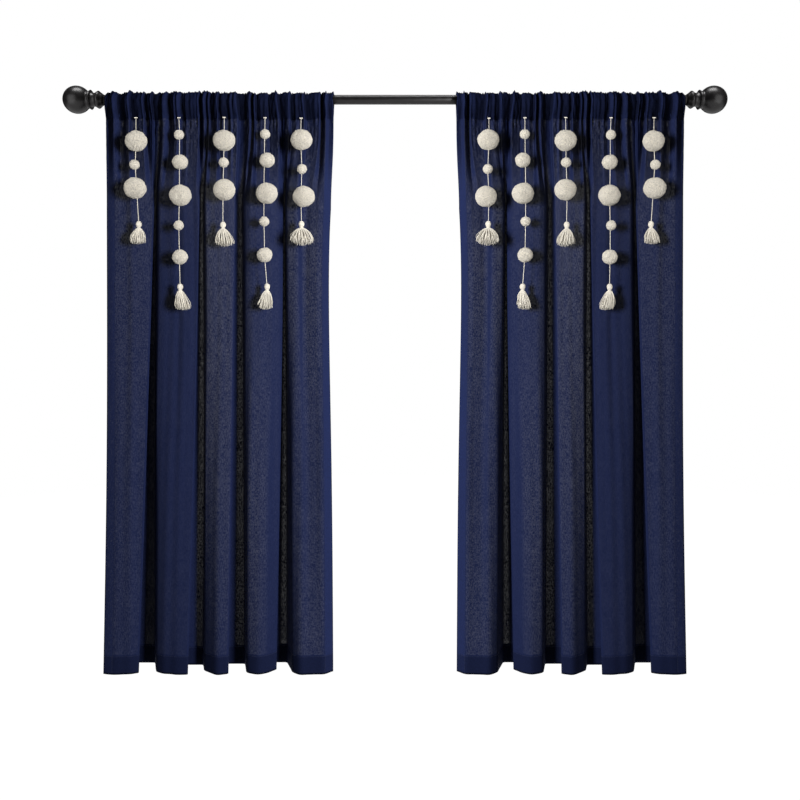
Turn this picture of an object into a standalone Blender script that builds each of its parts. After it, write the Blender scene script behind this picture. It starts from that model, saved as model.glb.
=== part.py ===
"""Pair of semi sheer rod pocket curtains with pompom strings, hung on a rod with ball finials.

Units are metres, +Z is up, +X runs along the rod and the room is towards -Y.
The origin is the middle of the rod, on its axis. The right curtain is the left one mirrored.
"""

import math
from collections import namedtuple

import bmesh
import bpy
import numpy as np
from mathutils import Vector
from mathutils.bvhtree import BVHTree

MM = 0.001
GAP = 0.0003

# Rod and finials
ROD_DIAMETER = 0.026
ROD_SIDES = 16
ROD_HALF_LENGTH = 0.7997
BALL_RADIUS = 0.038
FINIAL_CENTRE = 0.874
FINIAL_STEPS = 12
BALL_ARC_POINTS = 6

# Turned neck of a finial in mm, from the ball towards the rod
Ring = namedtuple("Ring", "from_centre radius")
NECK = (
    Ring(34.0, 22.8),
    Ring(38.0, 26.0),
    Ring(40.0, 26.0),
    Ring(42.5, 19.4),
    Ring(50.0, 17.0),
    Ring(57.0, 22.6),
    Ring(60.5, 24.0),
    Ring(66.0, 19.3),
    Ring(69.0, 17.8),
    Ring(74.0, 13.2),
)

# Cloth of one curtain
CLOTH_THICKNESS = 0.0016
SEAM_HEIGHT = -0.052
NECK_HEIGHT = -0.300
HEM_HEIGHT = -1.560
GATHERS = 22
COLUMNS_PER_GATHER = 4
DEEPEST_GATHER = 0.0115
NECK_GATHERS = 0.12
CORNER_SOFTNESS = 0.016
CORNER_TAPS = 7
TAP_FALL = 0.6

# Uneven width and depth of the gathers, as waves across the cloth
Wave = namedtuple("Wave", "size waves phase")
UNEVEN_WIDTH = (Wave(0.005, 3.3, 0.0), Wave(0.003, 7.4, 0.0))
UNEVEN_DEPTH = (Wave(0.16, 5.3, 0.8), Wave(0.10, 9.1, 0.0))
SWAY_ACROSS = (Wave(0.003, 3.4, 0.7),)
SWAY_FORWARD = (Wave(0.003, 2.3, 2.0),)

# The two side edges of the cloth at three levels, in mm, with y as the depth behind the rod's axis
Edges = namedtuple("Edges", "outer_x outer_y inner_x inner_y")
EDGES = {
    "seam": Edges(-796.0, 0.0, -170.5, 0.0),
    "neck": Edges(-786.0, -16.0, -181.0, -16.0),
    "hem": Edges(-788.0, -32.0, -168.5, -34.0),
}

# Valleys between the folds, in mm: where the front on the outer side ends, both ends of the
# valley's floor, the floor's depth, and where the next front starts
Valley = namedtuple("Valley", "front_ends floor_starts floor_ends floor_depth next_front_starts")
NECK_VALLEYS = (
    Valley(-660.0, -663.0, -650.0, 30.0, -647.0),
    Valley(-535.0, -537.0, -524.0, 24.0, -517.0),
    Valley(-437.0, -438.0, -417.0, 30.0, -407.0),
    Valley(-304.0, -306.0, -292.0, 32.0, -289.0),
)
HEM_VALLEYS = (
    Valley(-694.0, -692.0, -618.0, 52.0, -639.0),
    Valley(-567.0, -566.5, -536.0, 12.0, -497.0),
    Valley(-436.0, -438.0, -407.0, 32.0, -393.0),
    Valley(-316.0, -322.0, -287.0, 52.0, -277.0),
)

# Each valley begins at the seam in one of the gathers: its number from the outer edge, and its x in mm
Start = namedtuple("Start", "gather x")
VALLEY_STARTS = (
    Start(4.5, -660.0),
    Start(9.5, -528.0),
    Start(13.5, -423.5),
    Start(18.5, -300.0),
)
FRONT_DEPTH = {"neck": -20.0, "hem": -40.0}
FRONT_CROWN = {"neck": 4.0, "hem": 7.0}

# Rows of the cloth between the hem and the seam, as heights
BODY_ROWS = (HEM_HEIGHT, -0.93, NECK_HEIGHT, -0.208, -0.142)

# Rows of the pocket that goes round the rod, in mm: place of the gathers' middle, how far round
# the rod in degrees from the front, and the share of the gathers' depth that is left there
PocketRow = namedtuple("PocketRow", "y z turn share")
POCKET_ROWS = (
    PocketRow(-25.0, -9.0, 0.0, 0.85),
    PocketRow(-18.5, 15.5, 50.0, 0.50),
    PocketRow(0.0, 18.7, 90.0, 0.36),
    PocketRow(18.5, 15.5, 130.0, 0.50),
    PocketRow(25.0, -9.0, 180.0, 0.85),
)

# Pompom kinds, in mm, with the rings of faces down the outside
Kind = namedtuple("Kind", "width height rings")
KINDS = {
    "big": Kind(61.0, 59.0, 6),
    "medium": Kind(46.0, 43.0, 5),
    "small": Kind(29.5, 29.5, 4),
}
POMPOM_SIDES = 8
POMPOM_LUMPS = 0.035
YARN_RADIUS = 0.00125
CHANNEL_RADIUS = 0.0018
CHANNEL_SHARE = 0.2
LEAN_CLEARANCE = 0.0015
LEAN_TRIES = 25

# The strings of the left curtain from the outside in, in mm. The skirt is its tassel's: its
# reach is half its width, and its sway how far its foot hangs to the side
String = namedtuple("String", "tack_x tassel_x head_z skirt_length skirt_reach skirt_sway")
STRINGS = (
    String(-708.0, -692.0, -346.0, 52.0, 21.0, 1.0),
    String(-590.5, -577.0, -515.5, 59.0, 21.0, 7.0),
    String(-466.0, -463.0, -346.0, 60.0, 25.0, 4.0),
    String(-355.0, -346.5, -516.0, 57.0, 19.0, -2.0),
    String(-257.0, -253.5, -346.0, 58.0, 31.0, 3.0),
)

# The pompoms of each string from the top, in mm. The lean is how far a body lies beside its yarn
Pompom = namedtuple("Pompom", "kind yarn_x z lean")
POMPOMS = (
    (
        Pompom("big", -697.5, -122.0, 0.5),
        Pompom("small", -700.0, -185.5, -2.0),
        Pompom("big", -695.0, -249.5, -3.5),
    ),
    (
        Pompom("small", -585.0, -101.0, -1.5),
        Pompom("medium", -582.0, -177.5, 2.0),
        Pompom("big", -577.5, -269.5, 1.5),
        Pompom("small", -579.0, -350.0, -1.5),
        Pompom("medium", -578.0, -435.0, 1.5),
    ),
    (
        Pompom("big", -460.0, -120.5, 0.0),
        Pompom("small", -461.0, -180.0, 0.0),
        Pompom("big", -462.0, -254.5, 4.5),
    ),
    (
        Pompom("small", -353.5, -99.5, 1.0),
        Pompom("medium", -352.5, -172.0, 7.5),
        Pompom("big", -351.5, -264.0, 7.5),
        Pompom("small", -351.0, -339.5, 0.5),
        Pompom("medium", -349.5, -429.5, 0.0),
    ),
    (
        Pompom("big", -254.0, -119.0, 2.0),
        Pompom("small", -250.0, -197.5, 0.0),
        Pompom("big", -252.5, -272.5, 8.0),
    ),
)

# Tassels: outline of the tied head in mm, from its top to the middle of its underside, and how
# a strand of the skirt grows on from there, step by step
TASSEL_SIDES = 8
Corner = namedtuple("Corner", "radius height")
TASSEL_OUTLINE = (
    Corner(0.0, 9.5),
    Corner(5.6, 7.6),
    Corner(8.2, 1.5),
    Corner(7.2, -5.0),
    Corner(4.6, -8.4),
    Corner(6.4, -11.5),
    Corner(3.4, -12.6),
    Corner(0.0, -13.0),
)
SKIRT_TOP = 0.0116
SKIRT_SPLIT = 0.0034
SKIRT_FLATTENING = 0.62
Step = namedtuple("Step", "share_out share_down swell")
OUTER_STRAND = (Step(0.72, 0.45, 1.45), Step(1.0, 1.0, 1.35))
INNER_STRAND = (Step(0.38, 0.97, 2.0),)

# Yarn and tacks
YARN_MARGIN = 0.0008
TACK_SIZE = (0.0115, 0.0026, 0.0042)
TACK_EDGE = 0.0007
TACK_RISE = 0.002

# The right curtain mirrors the left one
SIDES = {"left": 1, "right": -1}

# Look of each material, with the colour as a hexadecimal sRGB number
Look = namedtuple("Look", "colour roughness metallic")
LOOKS = {
    "navy_cloth": Look(0x1B2350, 0.9, 0.0),
    "ivory_yarn": Look(0xE3D8C6, 0.95, 0.0),
    "bronze_paint": Look(0x35322F, 0.42, 0.5),
}


def clear_scene():
    for existing in list(bpy.data.objects):
        bpy.data.objects.remove(existing)


def new_collection(name):
    collection = bpy.data.collections.new(name)
    bpy.context.scene.collection.children.link(collection)
    return collection


def linear(value):
    return value / 12.92 if value <= 0.04045 else ((value + 0.055) / 1.055) ** 2.4


def make_material(name):
    look = LOOKS[name]
    material = bpy.data.materials.new(name)
    material.use_nodes = True
    shader = material.node_tree.nodes["Principled BSDF"]
    channels = [linear((look.colour >> shift & 255) / 255) for shift in (16, 8, 0)]
    shader.inputs["Base Color"].default_value = (*channels, 1.0)
    shader.inputs["Roughness"].default_value = look.roughness
    shader.inputs["Metallic"].default_value = look.metallic
    return material


def add_object(name, data, collection, material=None):
    thing = bpy.data.objects.new(name, data)
    collection.objects.link(thing)
    if material:
        data.materials.append(material)
    return thing


def face_outwards(work):
    bmesh.ops.recalc_face_normals(work, faces=work.faces)
    if work.calc_volume(signed=True) < 0:
        bmesh.ops.reverse_faces(work, faces=work.faces)


def mesh_from(name, build):
    """A new mesh, filled by a function that is given its bmesh."""
    mesh = bpy.data.meshes.new(name)
    work = bmesh.new()
    build(work)
    face_outwards(work)
    work.to_mesh(mesh)
    work.free()
    return mesh


def smooth_step(value):
    clamped = np.clip(value, 0.0, 1.0)
    return clamped * clamped * (3.0 - 2.0 * clamped)


def corner_path(level, valleys):
    """Corners of the folds across one level: list of (x, y) and the index of each valley's floor."""
    edges = EDGES[level]
    front = FRONT_DEPTH[level]
    path = [(edges.outer_x, edges.outer_y)]
    floors = []
    for valley in valleys:
        path.append(((path[-1][0] + valley.front_ends) / 2, front - FRONT_CROWN[level]))
        path.append((valley.front_ends, front))
        floors.append(len(path))
        path.append((valley.floor_starts, valley.floor_depth))
        path.append((valley.floor_ends, valley.floor_depth))
        path.append((valley.next_front_starts, front))
    path.append(((path[-1][0] + edges.inner_x) / 2, front - FRONT_CROWN[level]))
    path.append((edges.inner_x, edges.inner_y))
    return np.array(path) * MM, floors


def lengths_along(path):
    steps = np.hypot(*np.diff(path, axis=0).T)
    return np.concatenate([[0.0], np.cumsum(steps)])


def hem_level():
    """At the hem the corners lie as far apart in the cloth as they do in the room."""
    path, floors = corner_path("hem", HEM_VALLEYS)
    cloth = lengths_along(path)
    centres = [(cloth[i] + cloth[i + 1]) / 2 for i in floors]
    return cloth, path, centres


def neck_level(cloth_width, centres):
    """Higher up the valleys are narrow, and the fronts hold the rest of the cloth in ripples."""
    path, floors = corner_path("neck", NECK_VALLEYS)
    room = lengths_along(path)
    known = {0: 0.0, len(path) - 1: cloth_width}
    for index, centre in zip(floors, centres):
        middle = (room[index] + room[index + 1]) / 2
        for corner in range(index - 1, index + 3):
            known[corner] = centre + room[corner] - middle
    corners = sorted(known)
    cloth = np.interp(range(len(path)), corners, [known[corner] for corner in corners])
    return cloth, path


def waved(waves, share):
    return sum(wave.size * np.sin(2 * math.pi * wave.waves * share + wave.phase) for wave in waves)


def softened(cloth, values, at):
    """Reads a run of corners with each corner rounded off."""
    first = (values[1] - values[0]) / (cloth[1] - cloth[0])
    last = (values[-1] - values[-2]) / (cloth[-1] - cloth[-2])
    reach = 2 * CORNER_SOFTNESS
    places = [cloth[0] - reach, *cloth, cloth[-1] + reach]
    padded = [values[0] - reach * first, *values, values[-1] + reach * last]
    taps = np.linspace(-1.0, 1.0, CORNER_TAPS)
    weights = 1.0 - TAP_FALL * np.abs(taps)
    reads = [np.interp(at + tap * CORNER_SOFTNESS, places, padded) for tap in taps]
    return np.tensordot(weights, reads, axes=1) / weights.sum()


class Sheet:
    """The left curtain's hanging shape: a place in the room for each place in the cloth."""

    def __init__(self):
        self.hem_cloth, self.hem_path, self.centres = hem_level()
        self.width = self.hem_cloth[-1]
        self.neck_cloth, self.neck_path = neck_level(self.width, self.centres)

    def cloth_at(self, share):
        """Distance from the cloth's outer edge, for a place counted in gathers of uneven width."""
        gathers = np.array([0.0, *(start.gather for start in VALLEY_STARTS), GATHERS]) / GATHERS
        moved = share + waved(UNEVEN_WIDTH, share) * np.sin(math.pi * share)
        cloth = softened(gathers * self.width, [0.0, *self.centres, self.width], moved * self.width)
        return np.clip(cloth, 0.0, self.width)

    def seam(self, share):
        cloth = self.cloth_at(share)
        edges = EDGES["seam"]
        places = np.array([edges.outer_x, *(start.x for start in VALLEY_STARTS), edges.inner_x]) * MM
        x = softened([0.0, *self.centres, self.width], places, cloth)
        return x, self.ripple(share, x, cloth, np.ones_like(x))

    def neck(self, share):
        cloth = self.cloth_at(share)
        x = softened(self.neck_cloth, self.neck_path[:, 0], cloth)
        y = softened(self.neck_cloth, self.neck_path[:, 1], cloth)
        on_front = smooth_step((0.004 - y) / 0.018)
        return x, y + self.ripple(share, x, cloth, NECK_GATHERS * on_front)

    def hem(self, share):
        cloth = self.cloth_at(share)
        x = softened(self.hem_cloth, self.hem_path[:, 0], cloth)
        y = softened(self.hem_cloth, self.hem_path[:, 1], cloth)
        return x, y

    def ripple(self, share, x, cloth, strength):
        """Depth of the small gathers: as deep as takes up the spare cloth."""
        spread = np.gradient(x, share)
        fullness = np.maximum(np.gradient(cloth, share) / np.maximum(spread, 0.05), 1.0)
        pitch = np.clip(spread / GATHERS, 0.012, 0.040)
        depth = pitch / (2 * math.pi) * np.sqrt(2 * (fullness**2 - 1))
        uneven = 1.0 + waved(UNEVEN_DEPTH, share)
        depth = np.minimum(depth * uneven, DEEPEST_GATHER) * strength
        return -depth * np.cos(2 * math.pi * GATHERS * share)

    def row(self, share, height):
        """The cloth across one height below the seam."""
        if height >= NECK_HEIGHT:
            upper, lower = self.seam(share), self.neck(share)
            way = smooth_step((SEAM_HEIGHT - height) / (SEAM_HEIGHT - NECK_HEIGHT))
        else:
            upper, lower = self.neck(share), self.hem(share)
            way = (NECK_HEIGHT - height) / (NECK_HEIGHT - HEM_HEIGHT)
        x, y = (a + way * (b - a) for a, b in zip(upper, lower))
        if height < NECK_HEIGHT:
            bow = math.sin(math.pi * way)
            x = x + bow * waved(SWAY_ACROSS, share)
            y = y + bow * waved(SWAY_FORWARD, share)
        return x, y, np.full_like(x, height)

    def pocket_row(self, share, line):
        """The cloth along one line round the rod, where the gathers twist by half a gather."""
        x, seam_y = self.seam(share)
        angle = math.radians(line.turn)
        deepest = np.abs(seam_y).max()
        wave = deepest * line.share * np.cos(2 * math.pi * GATHERS * share + angle)
        y = line.y * MM - wave * math.cos(angle)
        z = line.z * MM + wave * math.sin(angle)
        return x, y, z


def sheet_rows(sheet, share):
    rows = [sheet.row(share, height) for height in BODY_ROWS]
    rows.append(sheet.row(share, SEAM_HEIGHT))
    for line in POCKET_ROWS:
        rows.append(sheet.pocket_row(share, line))
    return [np.stack(row, axis=1) for row in rows]


def make_panel(name, side, sheet, collection, material):
    """One curtain: a closed sheet from its hem up the front, round the rod and back to the seam."""
    columns = GATHERS * COLUMNS_PER_GATHER
    share = np.linspace(0.0, 1.0, columns + 1)
    rows = sheet_rows(sheet, share)
    seam_index = len(BODY_ROWS)
    rows.append(rows[seam_index])

    def build(work):
        bmesh.ops.create_grid(work, x_segments=columns, y_segments=len(rows) - 1, size=0.5)
        for vertex in work.verts:
            column = round((vertex.co.x + 0.5) * columns)
            row = round((vertex.co.y + 0.5) * (len(rows) - 1))
            x, y, z = rows[row][column]
            vertex.co = (side * x, y, z)
        bmesh.ops.remove_doubles(work, verts=work.verts, dist=1e-5)
        bmesh.ops.triangulate(work, faces=work.faces, quad_method="SHORT_EDGE")

    panel = add_object(name, mesh_from(name, build), collection, material)
    wall = panel.modifiers.new("Cloth", "SOLIDIFY")
    wall.solidify_mode = "NON_MANIFOLD"
    wall.nonmanifold_thickness_mode = "EVEN"
    wall.thickness = CLOTH_THICKNESS
    wall.offset = 0.0
    return panel


def bevelled_box(size, edge):
    def build(work):
        bmesh.ops.create_cube(work, size=1.0)
        bmesh.ops.scale(work, vec=size, verts=work.verts)
        bmesh.ops.bevel(
            work, geom=work.edges[:], offset=edge, offset_type="OFFSET", segments=1, profile=0.5,
            affect="EDGES", material=-1,
        )

    return build


def spun(work, profile, steps):
    """Turns a closed or open outline, given as radius and height, about the Z axis."""
    corners = [work.verts.new((radius, 0.0, height)) for radius, height in profile]
    edges = [work.edges.new(pair) for pair in zip(corners, corners[1:])]
    bmesh.ops.spin(
        work, geom=corners + edges, cent=(0, 0, 0), axis=(0, 0, 1), angle=2 * math.pi, steps=steps,
        use_merge=True,
    )
    bmesh.ops.remove_doubles(work, verts=work.verts, dist=1e-5)


def make_rod(collection, material):
    def build(work):
        bmesh.ops.create_cone(
            work, cap_ends=True, segments=ROD_SIDES, radius1=ROD_DIAMETER / 2,
            radius2=ROD_DIAMETER / 2, depth=2 * ROD_HALF_LENGTH,
        )

    rod = add_object("rod", mesh_from("rod", build), collection, material)
    rod.rotation_euler = (0.0, math.pi / 2, 0.0)
    rod.data.shade_smooth()
    rod.data.set_sharp_from_angle(angle=math.radians(50))


def make_finial(name, side, collection, material):
    """A turned ball on a ringed neck, whose flat end meets the end of the rod."""
    joint = math.pi - math.asin(NECK[0].radius * MM / BALL_RADIUS)
    angles = [joint * step / BALL_ARC_POINTS for step in range(BALL_ARC_POINTS + 1)]
    profile = [(BALL_RADIUS * math.sin(a), BALL_RADIUS * math.cos(a)) for a in angles]
    profile += [(ring.radius * MM, -ring.from_centre * MM) for ring in NECK]
    profile.append((0.0, -NECK[-1].from_centre * MM))
    mesh = bpy.data.meshes.new(name)
    points = [(radius, 0.0, height) for radius, height in profile]
    mesh.from_pydata(points, [(i, i + 1) for i in range(len(points) - 1)], [])
    finial = add_object(name, mesh, collection, material)
    finial.location = (-side * FINIAL_CENTRE, 0.0, 0.0)
    finial.rotation_euler = (0.0, -side * math.pi / 2, 0.0)
    turn = finial.modifiers.new("Turn", "SCREW")
    turn.axis = "Z"
    turn.angle = 2 * math.pi
    turn.steps = FINIAL_STEPS
    turn.render_steps = FINIAL_STEPS
    turn.use_merge_vertices = True
    turn.merge_threshold = 0.00001
    turn.use_normal_calculate = True
    turn.use_smooth_shade = True


def front_of(surface, x, z, width, height):
    """How far forward the cloth comes within a small upright rectangle."""
    hits = []
    for across in np.linspace(-0.5, 0.5, LEAN_TRIES):
        for up in np.linspace(-0.5, 0.5, LEAN_TRIES):
            start = Vector((x + across * width, -1.0, z + up * height))
            place, _, _, _ = surface.ray_cast(start, Vector((0, 1, 0)))
            hits.append(place.y)
    return min(hits)


def pushed_forward(surface, place, radius):
    """Moves a round thing towards the room until it clears the cloth it leans on."""
    for _ in range(LEAN_TRIES):
        _, _, _, distance = surface.find_nearest(place)
        missing = radius + LEAN_CLEARANCE - distance
        if missing > 1e-5:
            place = place - Vector((0.0, missing, 0.0))
    return place


def hang_string(surface, string, pompoms):
    """Places of a string's tack, pompoms and tassel head as they hang in front of the cloth."""
    tack_x = string.tack_x * MM
    tack_z = SEAM_HEIGHT + TACK_RISE
    width, depth, height = TACK_SIZE
    forward = front_of(surface, tack_x, tack_z, width, height)
    tack = Vector((tack_x, forward - GAP - depth / 2, tack_z))
    y = tack.y
    centres = []
    for pompom in pompoms:
        radius = KINDS[pompom.kind].width * MM / 2 * (1 + POMPOM_LUMPS)
        body = Vector(((pompom.yarn_x + pompom.lean) * MM, y, pompom.z * MM))
        y = pushed_forward(surface, body, radius).y
        centres.append(Vector((pompom.yarn_x * MM, y, pompom.z * MM)))
    foot = Vector((string.tassel_x, 0.0, string.head_z - string.skirt_length)) * MM
    foot.y = y
    y = pushed_forward(surface, foot, string.skirt_reach * MM * SKIRT_FLATTENING).y
    return tack, centres, Vector((string.tassel_x * MM, y, string.head_z * MM))


def axes_of(tack, centres, head):
    """The way the yarn runs through each pompom: midway between its runs above and below."""
    stops = [tack, *centres, head]
    runs = [(after - before).normalized() for before, after in zip(stops, stops[1:])]
    return [(above + below).normalized() for above, below in zip(runs, runs[1:])]


def yarn_route(surface, tack, centres, axes, head, pompoms):
    """Corners of the yarn. Below its tack it bends over the gathers that it lies on."""
    first_top = centres[0].z + KINDS[pompoms[0].kind].height * MM / 2
    halfway = (tack.z + first_top) / 2
    share = (tack.z - halfway) / (tack.z - centres[0].z)
    route = [tack, pushed_forward(surface, tack.lerp(centres[0], share), YARN_RADIUS)]
    for centre, axis, pompom in zip(centres, axes, pompoms):
        reach = KINDS[pompom.kind].height * MM / 2 + YARN_MARGIN
        route += [centre - axis * reach, centre + axis * reach]
    route.append(head)
    return route


def make_pompom(name, side, pompom, centre, axis, seed, collection, material):
    """A lumpy ball with a channel for the yarn that it is tied on."""
    kind = KINDS[pompom.kind]
    radius = kind.width * MM / 2
    half_height = kind.height * MM / 2
    mouth = math.asin(CHANNEL_RADIUS / radius)

    def build(work):
        angles = np.linspace(mouth, math.pi - mouth, kind.rings + 1)
        profile = [(radius * math.sin(a), half_height * math.cos(a)) for a in angles]
        spun(work, profile + profile[:1], POMPOM_SIDES)
        for vertex in work.verts:
            across = math.hypot(vertex.co.x, vertex.co.y) / radius
            if across > CHANNEL_SHARE:
                turn = math.atan2(vertex.co.y, vertex.co.x)
                rise = vertex.co.z / half_height
                lump = math.sin(2 * turn + seed) * math.cos(2.2 * rise + 1.7 * seed)
                lump += 0.6 * math.sin(3 * turn - 2 * seed) * math.cos(3.1 * rise)
                vertex.co *= 1 + POMPOM_LUMPS * across * lump / 1.6
                vertex.co.x += pompom.lean * MM * across
            vertex.co.x *= side

    ball = add_object(name, mesh_from(name, build), collection, material)
    ball.location = (side * centre.x, centre.y, centre.z)
    down = Vector((side * axis.x, axis.y, axis.z))
    ball.rotation_euler = Vector((0, 0, -1)).rotation_difference(down).to_euler()
    ball.data.shade_smooth()


def skirt_strand(work, face, string, steps):
    """Grows one strand of a tassel out of a face under its head."""
    root = face.calc_center_median()
    outward = Vector((root.x, root.y * SKIRT_FLATTENING, 0.0)) / math.hypot(root.x, root.y)
    hang = Vector((string.skirt_sway * MM, 0.0, SKIRT_TOP - string.skirt_length * MM))
    for step in steps:
        grown = bmesh.ops.extrude_discrete_faces(work, faces=[face])["faces"][0]
        middle = grown.calc_center_median()
        target = outward * string.skirt_reach * MM * step.share_out + hang * step.share_down
        target.z -= SKIRT_TOP
        for vertex in grown.verts:
            vertex.co = target + (vertex.co - middle) * step.swell
        face = grown


def tassel_builder(string, place, side):
    """A tied head and a skirt of separate strands, hanging below a place on its yarn."""
    outline = [(corner.radius * MM, corner.height * MM) for corner in TASSEL_OUTLINE]

    def build(work):
        spun(work, outline, TASSEL_SIDES)
        bmesh.ops.recalc_face_normals(work, faces=work.faces)
        under = [face for face in work.faces if face.calc_center_median().z < -SKIRT_TOP]
        for face in under:
            middle = face.calc_center_median()
            outer = math.hypot(middle.x, middle.y) > SKIRT_SPLIT
            skirt_strand(work, face, string, OUTER_STRAND if outer else INNER_STRAND)
        for vertex in work.verts:
            vertex.co += place
            vertex.co.x *= side

    return build


def yarn_mesh(name, points, graph):
    """A run of yarn as a closed mesh."""
    curve = bpy.data.curves.new(name, "CURVE")
    curve.dimensions = "3D"
    curve.bevel_depth = YARN_RADIUS
    curve.bevel_resolution = 1
    curve.use_fill_caps = True
    spline = curve.splines.new("POLY")
    spline.points.add(len(points) - 1)
    for point, place in zip(spline.points, points):
        point.co = (*place, 1.0)
    guide = bpy.data.objects.new(name, curve)
    bpy.context.scene.collection.objects.link(guide)
    graph.update()
    mesh = bpy.data.meshes.new_from_object(guide.evaluated_get(graph))
    bpy.data.objects.remove(guide)
    work = bmesh.new()
    work.from_mesh(mesh)
    bmesh.ops.remove_doubles(work, verts=work.verts, dist=1e-6)
    face_outwards(work)
    work.to_mesh(mesh)
    work.free()
    return mesh


def add_helper(name, mesh, place, collection):
    helper = add_object(name, mesh, collection)
    helper.location = place
    helper.hide_render = True
    helper.display_type = "WIRE"
    return helper


def make_string(name, side, string, route, collections, material, graph):
    """The yarn with its tack at the seam and its tassel, in one piece."""
    collection, helpers = collections
    tack = route[0]
    start = Vector((side * tack.x, tack.y, tack.z))
    local = [Vector((side * (p.x - tack.x), p.y - tack.y, p.z - tack.z)) for p in route]
    place = Vector((route[-1].x - tack.x, route[-1].y - tack.y, route[-1].z - tack.z))
    mesh = mesh_from(name, tassel_builder(string, place, side))
    thing = add_object(name, mesh, collection, material)
    thing.location = start
    joined = {
        "yarn": yarn_mesh(name + "_yarn", local, graph),
        "tack": mesh_from(name + "_tack", bevelled_box(TACK_SIZE, TACK_EDGE)),
    }
    for label, helper_mesh in joined.items():
        helper = add_helper(f"{name}_{label}", helper_mesh, start, helpers)
        union = thing.modifiers.new(label, "BOOLEAN")
        union.operation = "UNION"
        union.object = helper


def make_strings(surface, collections, material, graph):
    """Every string is worked out on the left curtain, and made there and mirrored on the right."""
    collection, _ = collections
    for number, (string, pompoms) in enumerate(zip(STRINGS, POMPOMS), 1):
        tack, centres, head = hang_string(surface, string, pompoms)
        axes = axes_of(tack, centres, head)
        route = yarn_route(surface, tack, centres, axes, head, pompoms)
        for label, side in SIDES.items():
            make_string(f"string_{label}_{number}", side, string, route, collections, material, graph)
            for order, (pompom, centre, axis) in enumerate(zip(pompoms, centres, axes), 1):
                name = f"pompom_{label}_{number}_{order}"
                seed = number * 1.3 + order * 2.1
                make_pompom(name, side, pompom, centre, axis, seed, collection, material)


def main():
    clear_scene()
    parts = new_collection("curtain_pair")
    helpers = new_collection("joining_helpers")
    materials = {name: make_material(name) for name in LOOKS}
    sheet = Sheet()
    panels = {
        label: make_panel(f"panel_{label}", side, sheet, parts, materials["navy_cloth"])
        for label, side in SIDES.items()
    }
    make_rod(parts, materials["bronze_paint"])
    for label, side in SIDES.items():
        make_finial(f"finial_{label}", side, parts, materials["bronze_paint"])
    graph = bpy.context.evaluated_depsgraph_get()
    surface = BVHTree.FromObject(panels["left"], graph)
    make_strings(surface, (parts, helpers), materials["ivory_yarn"], graph)


main()
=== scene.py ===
"""Pair of semi sheer rod pocket curtains with pompom strings on a rod: the finished look of each piece.

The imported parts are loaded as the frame, and each piece is built where its part lies. Lengths are
metres, +Z is up and the room is towards -Y. The right curtain is the left one mirrored.
"""

import math
from collections import namedtuple

import bmesh
import bpy
import numpy as np
from mathutils import Matrix, Vector, noise


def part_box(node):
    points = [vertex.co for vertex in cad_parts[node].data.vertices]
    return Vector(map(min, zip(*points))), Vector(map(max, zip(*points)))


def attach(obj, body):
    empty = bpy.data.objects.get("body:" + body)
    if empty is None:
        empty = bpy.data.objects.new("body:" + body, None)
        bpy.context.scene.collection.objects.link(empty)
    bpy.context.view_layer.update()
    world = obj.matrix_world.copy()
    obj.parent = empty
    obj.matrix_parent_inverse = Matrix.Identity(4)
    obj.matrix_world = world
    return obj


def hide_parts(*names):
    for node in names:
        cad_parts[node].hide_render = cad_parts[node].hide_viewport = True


bl_info = {
    "name": "Pompom curtain pair",
    "version": (1, 0, 0),
    "blender": (4, 5, 0),
    "location": "View3D > Sidebar > Curtains",
    "description": "Builds semi sheer curtains with pompom strings over their packed parts",
    "category": "Add Mesh",
}

MM = 0.001
FULL_TURN = 2 * math.pi

# How close corners of turned and of swept meshes are merged, in metres
SPUN_MERGE = 1e-6
SWEPT_MERGE = 2e-6

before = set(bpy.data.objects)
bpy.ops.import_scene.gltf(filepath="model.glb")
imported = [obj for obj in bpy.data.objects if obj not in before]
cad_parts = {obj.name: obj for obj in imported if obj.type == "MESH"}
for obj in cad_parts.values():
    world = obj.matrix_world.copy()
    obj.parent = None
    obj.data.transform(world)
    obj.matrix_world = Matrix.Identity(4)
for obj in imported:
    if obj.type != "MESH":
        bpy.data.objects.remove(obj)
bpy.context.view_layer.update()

# Which way X goes on a curtain, beside the left one
SIDES = {"left": 1, "right": -1}

# Levels of the cloth, as heights
SEAM_HEIGHT = -0.052
NECK_HEIGHT = -0.300
HEM_HEIGHT = -1.565

# Pleats of the pocket: how far they stand forward and back of its middle, how much of them is left
# at the neck, and over what length their corners are rounded
PLEAT_REACH = 0.0160
NECK_PLEATS = 0.09
PLEAT_SOFTNESS = 0.0018

# Corners of the folds are averaged over some taps, the outer ones weaker. They are rounded over
# one length where a front starts and over a shorter one where it ends, from so far before its end
CORNER_TAPS = 9
TAP_FALL = 0.6
ROUND_CORNER = 0.009
CRISP_CORNER = 0.006
CRISP_FROM = 0.03

# The two side edges of the cloth at two levels, in mm
Edges = namedtuple("Edges", "outer_x inner_x")
EDGES = {
    "neck": Edges(-788.0, -176.0),
    "hem": Edges(-790.5, -168.5),
}

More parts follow.
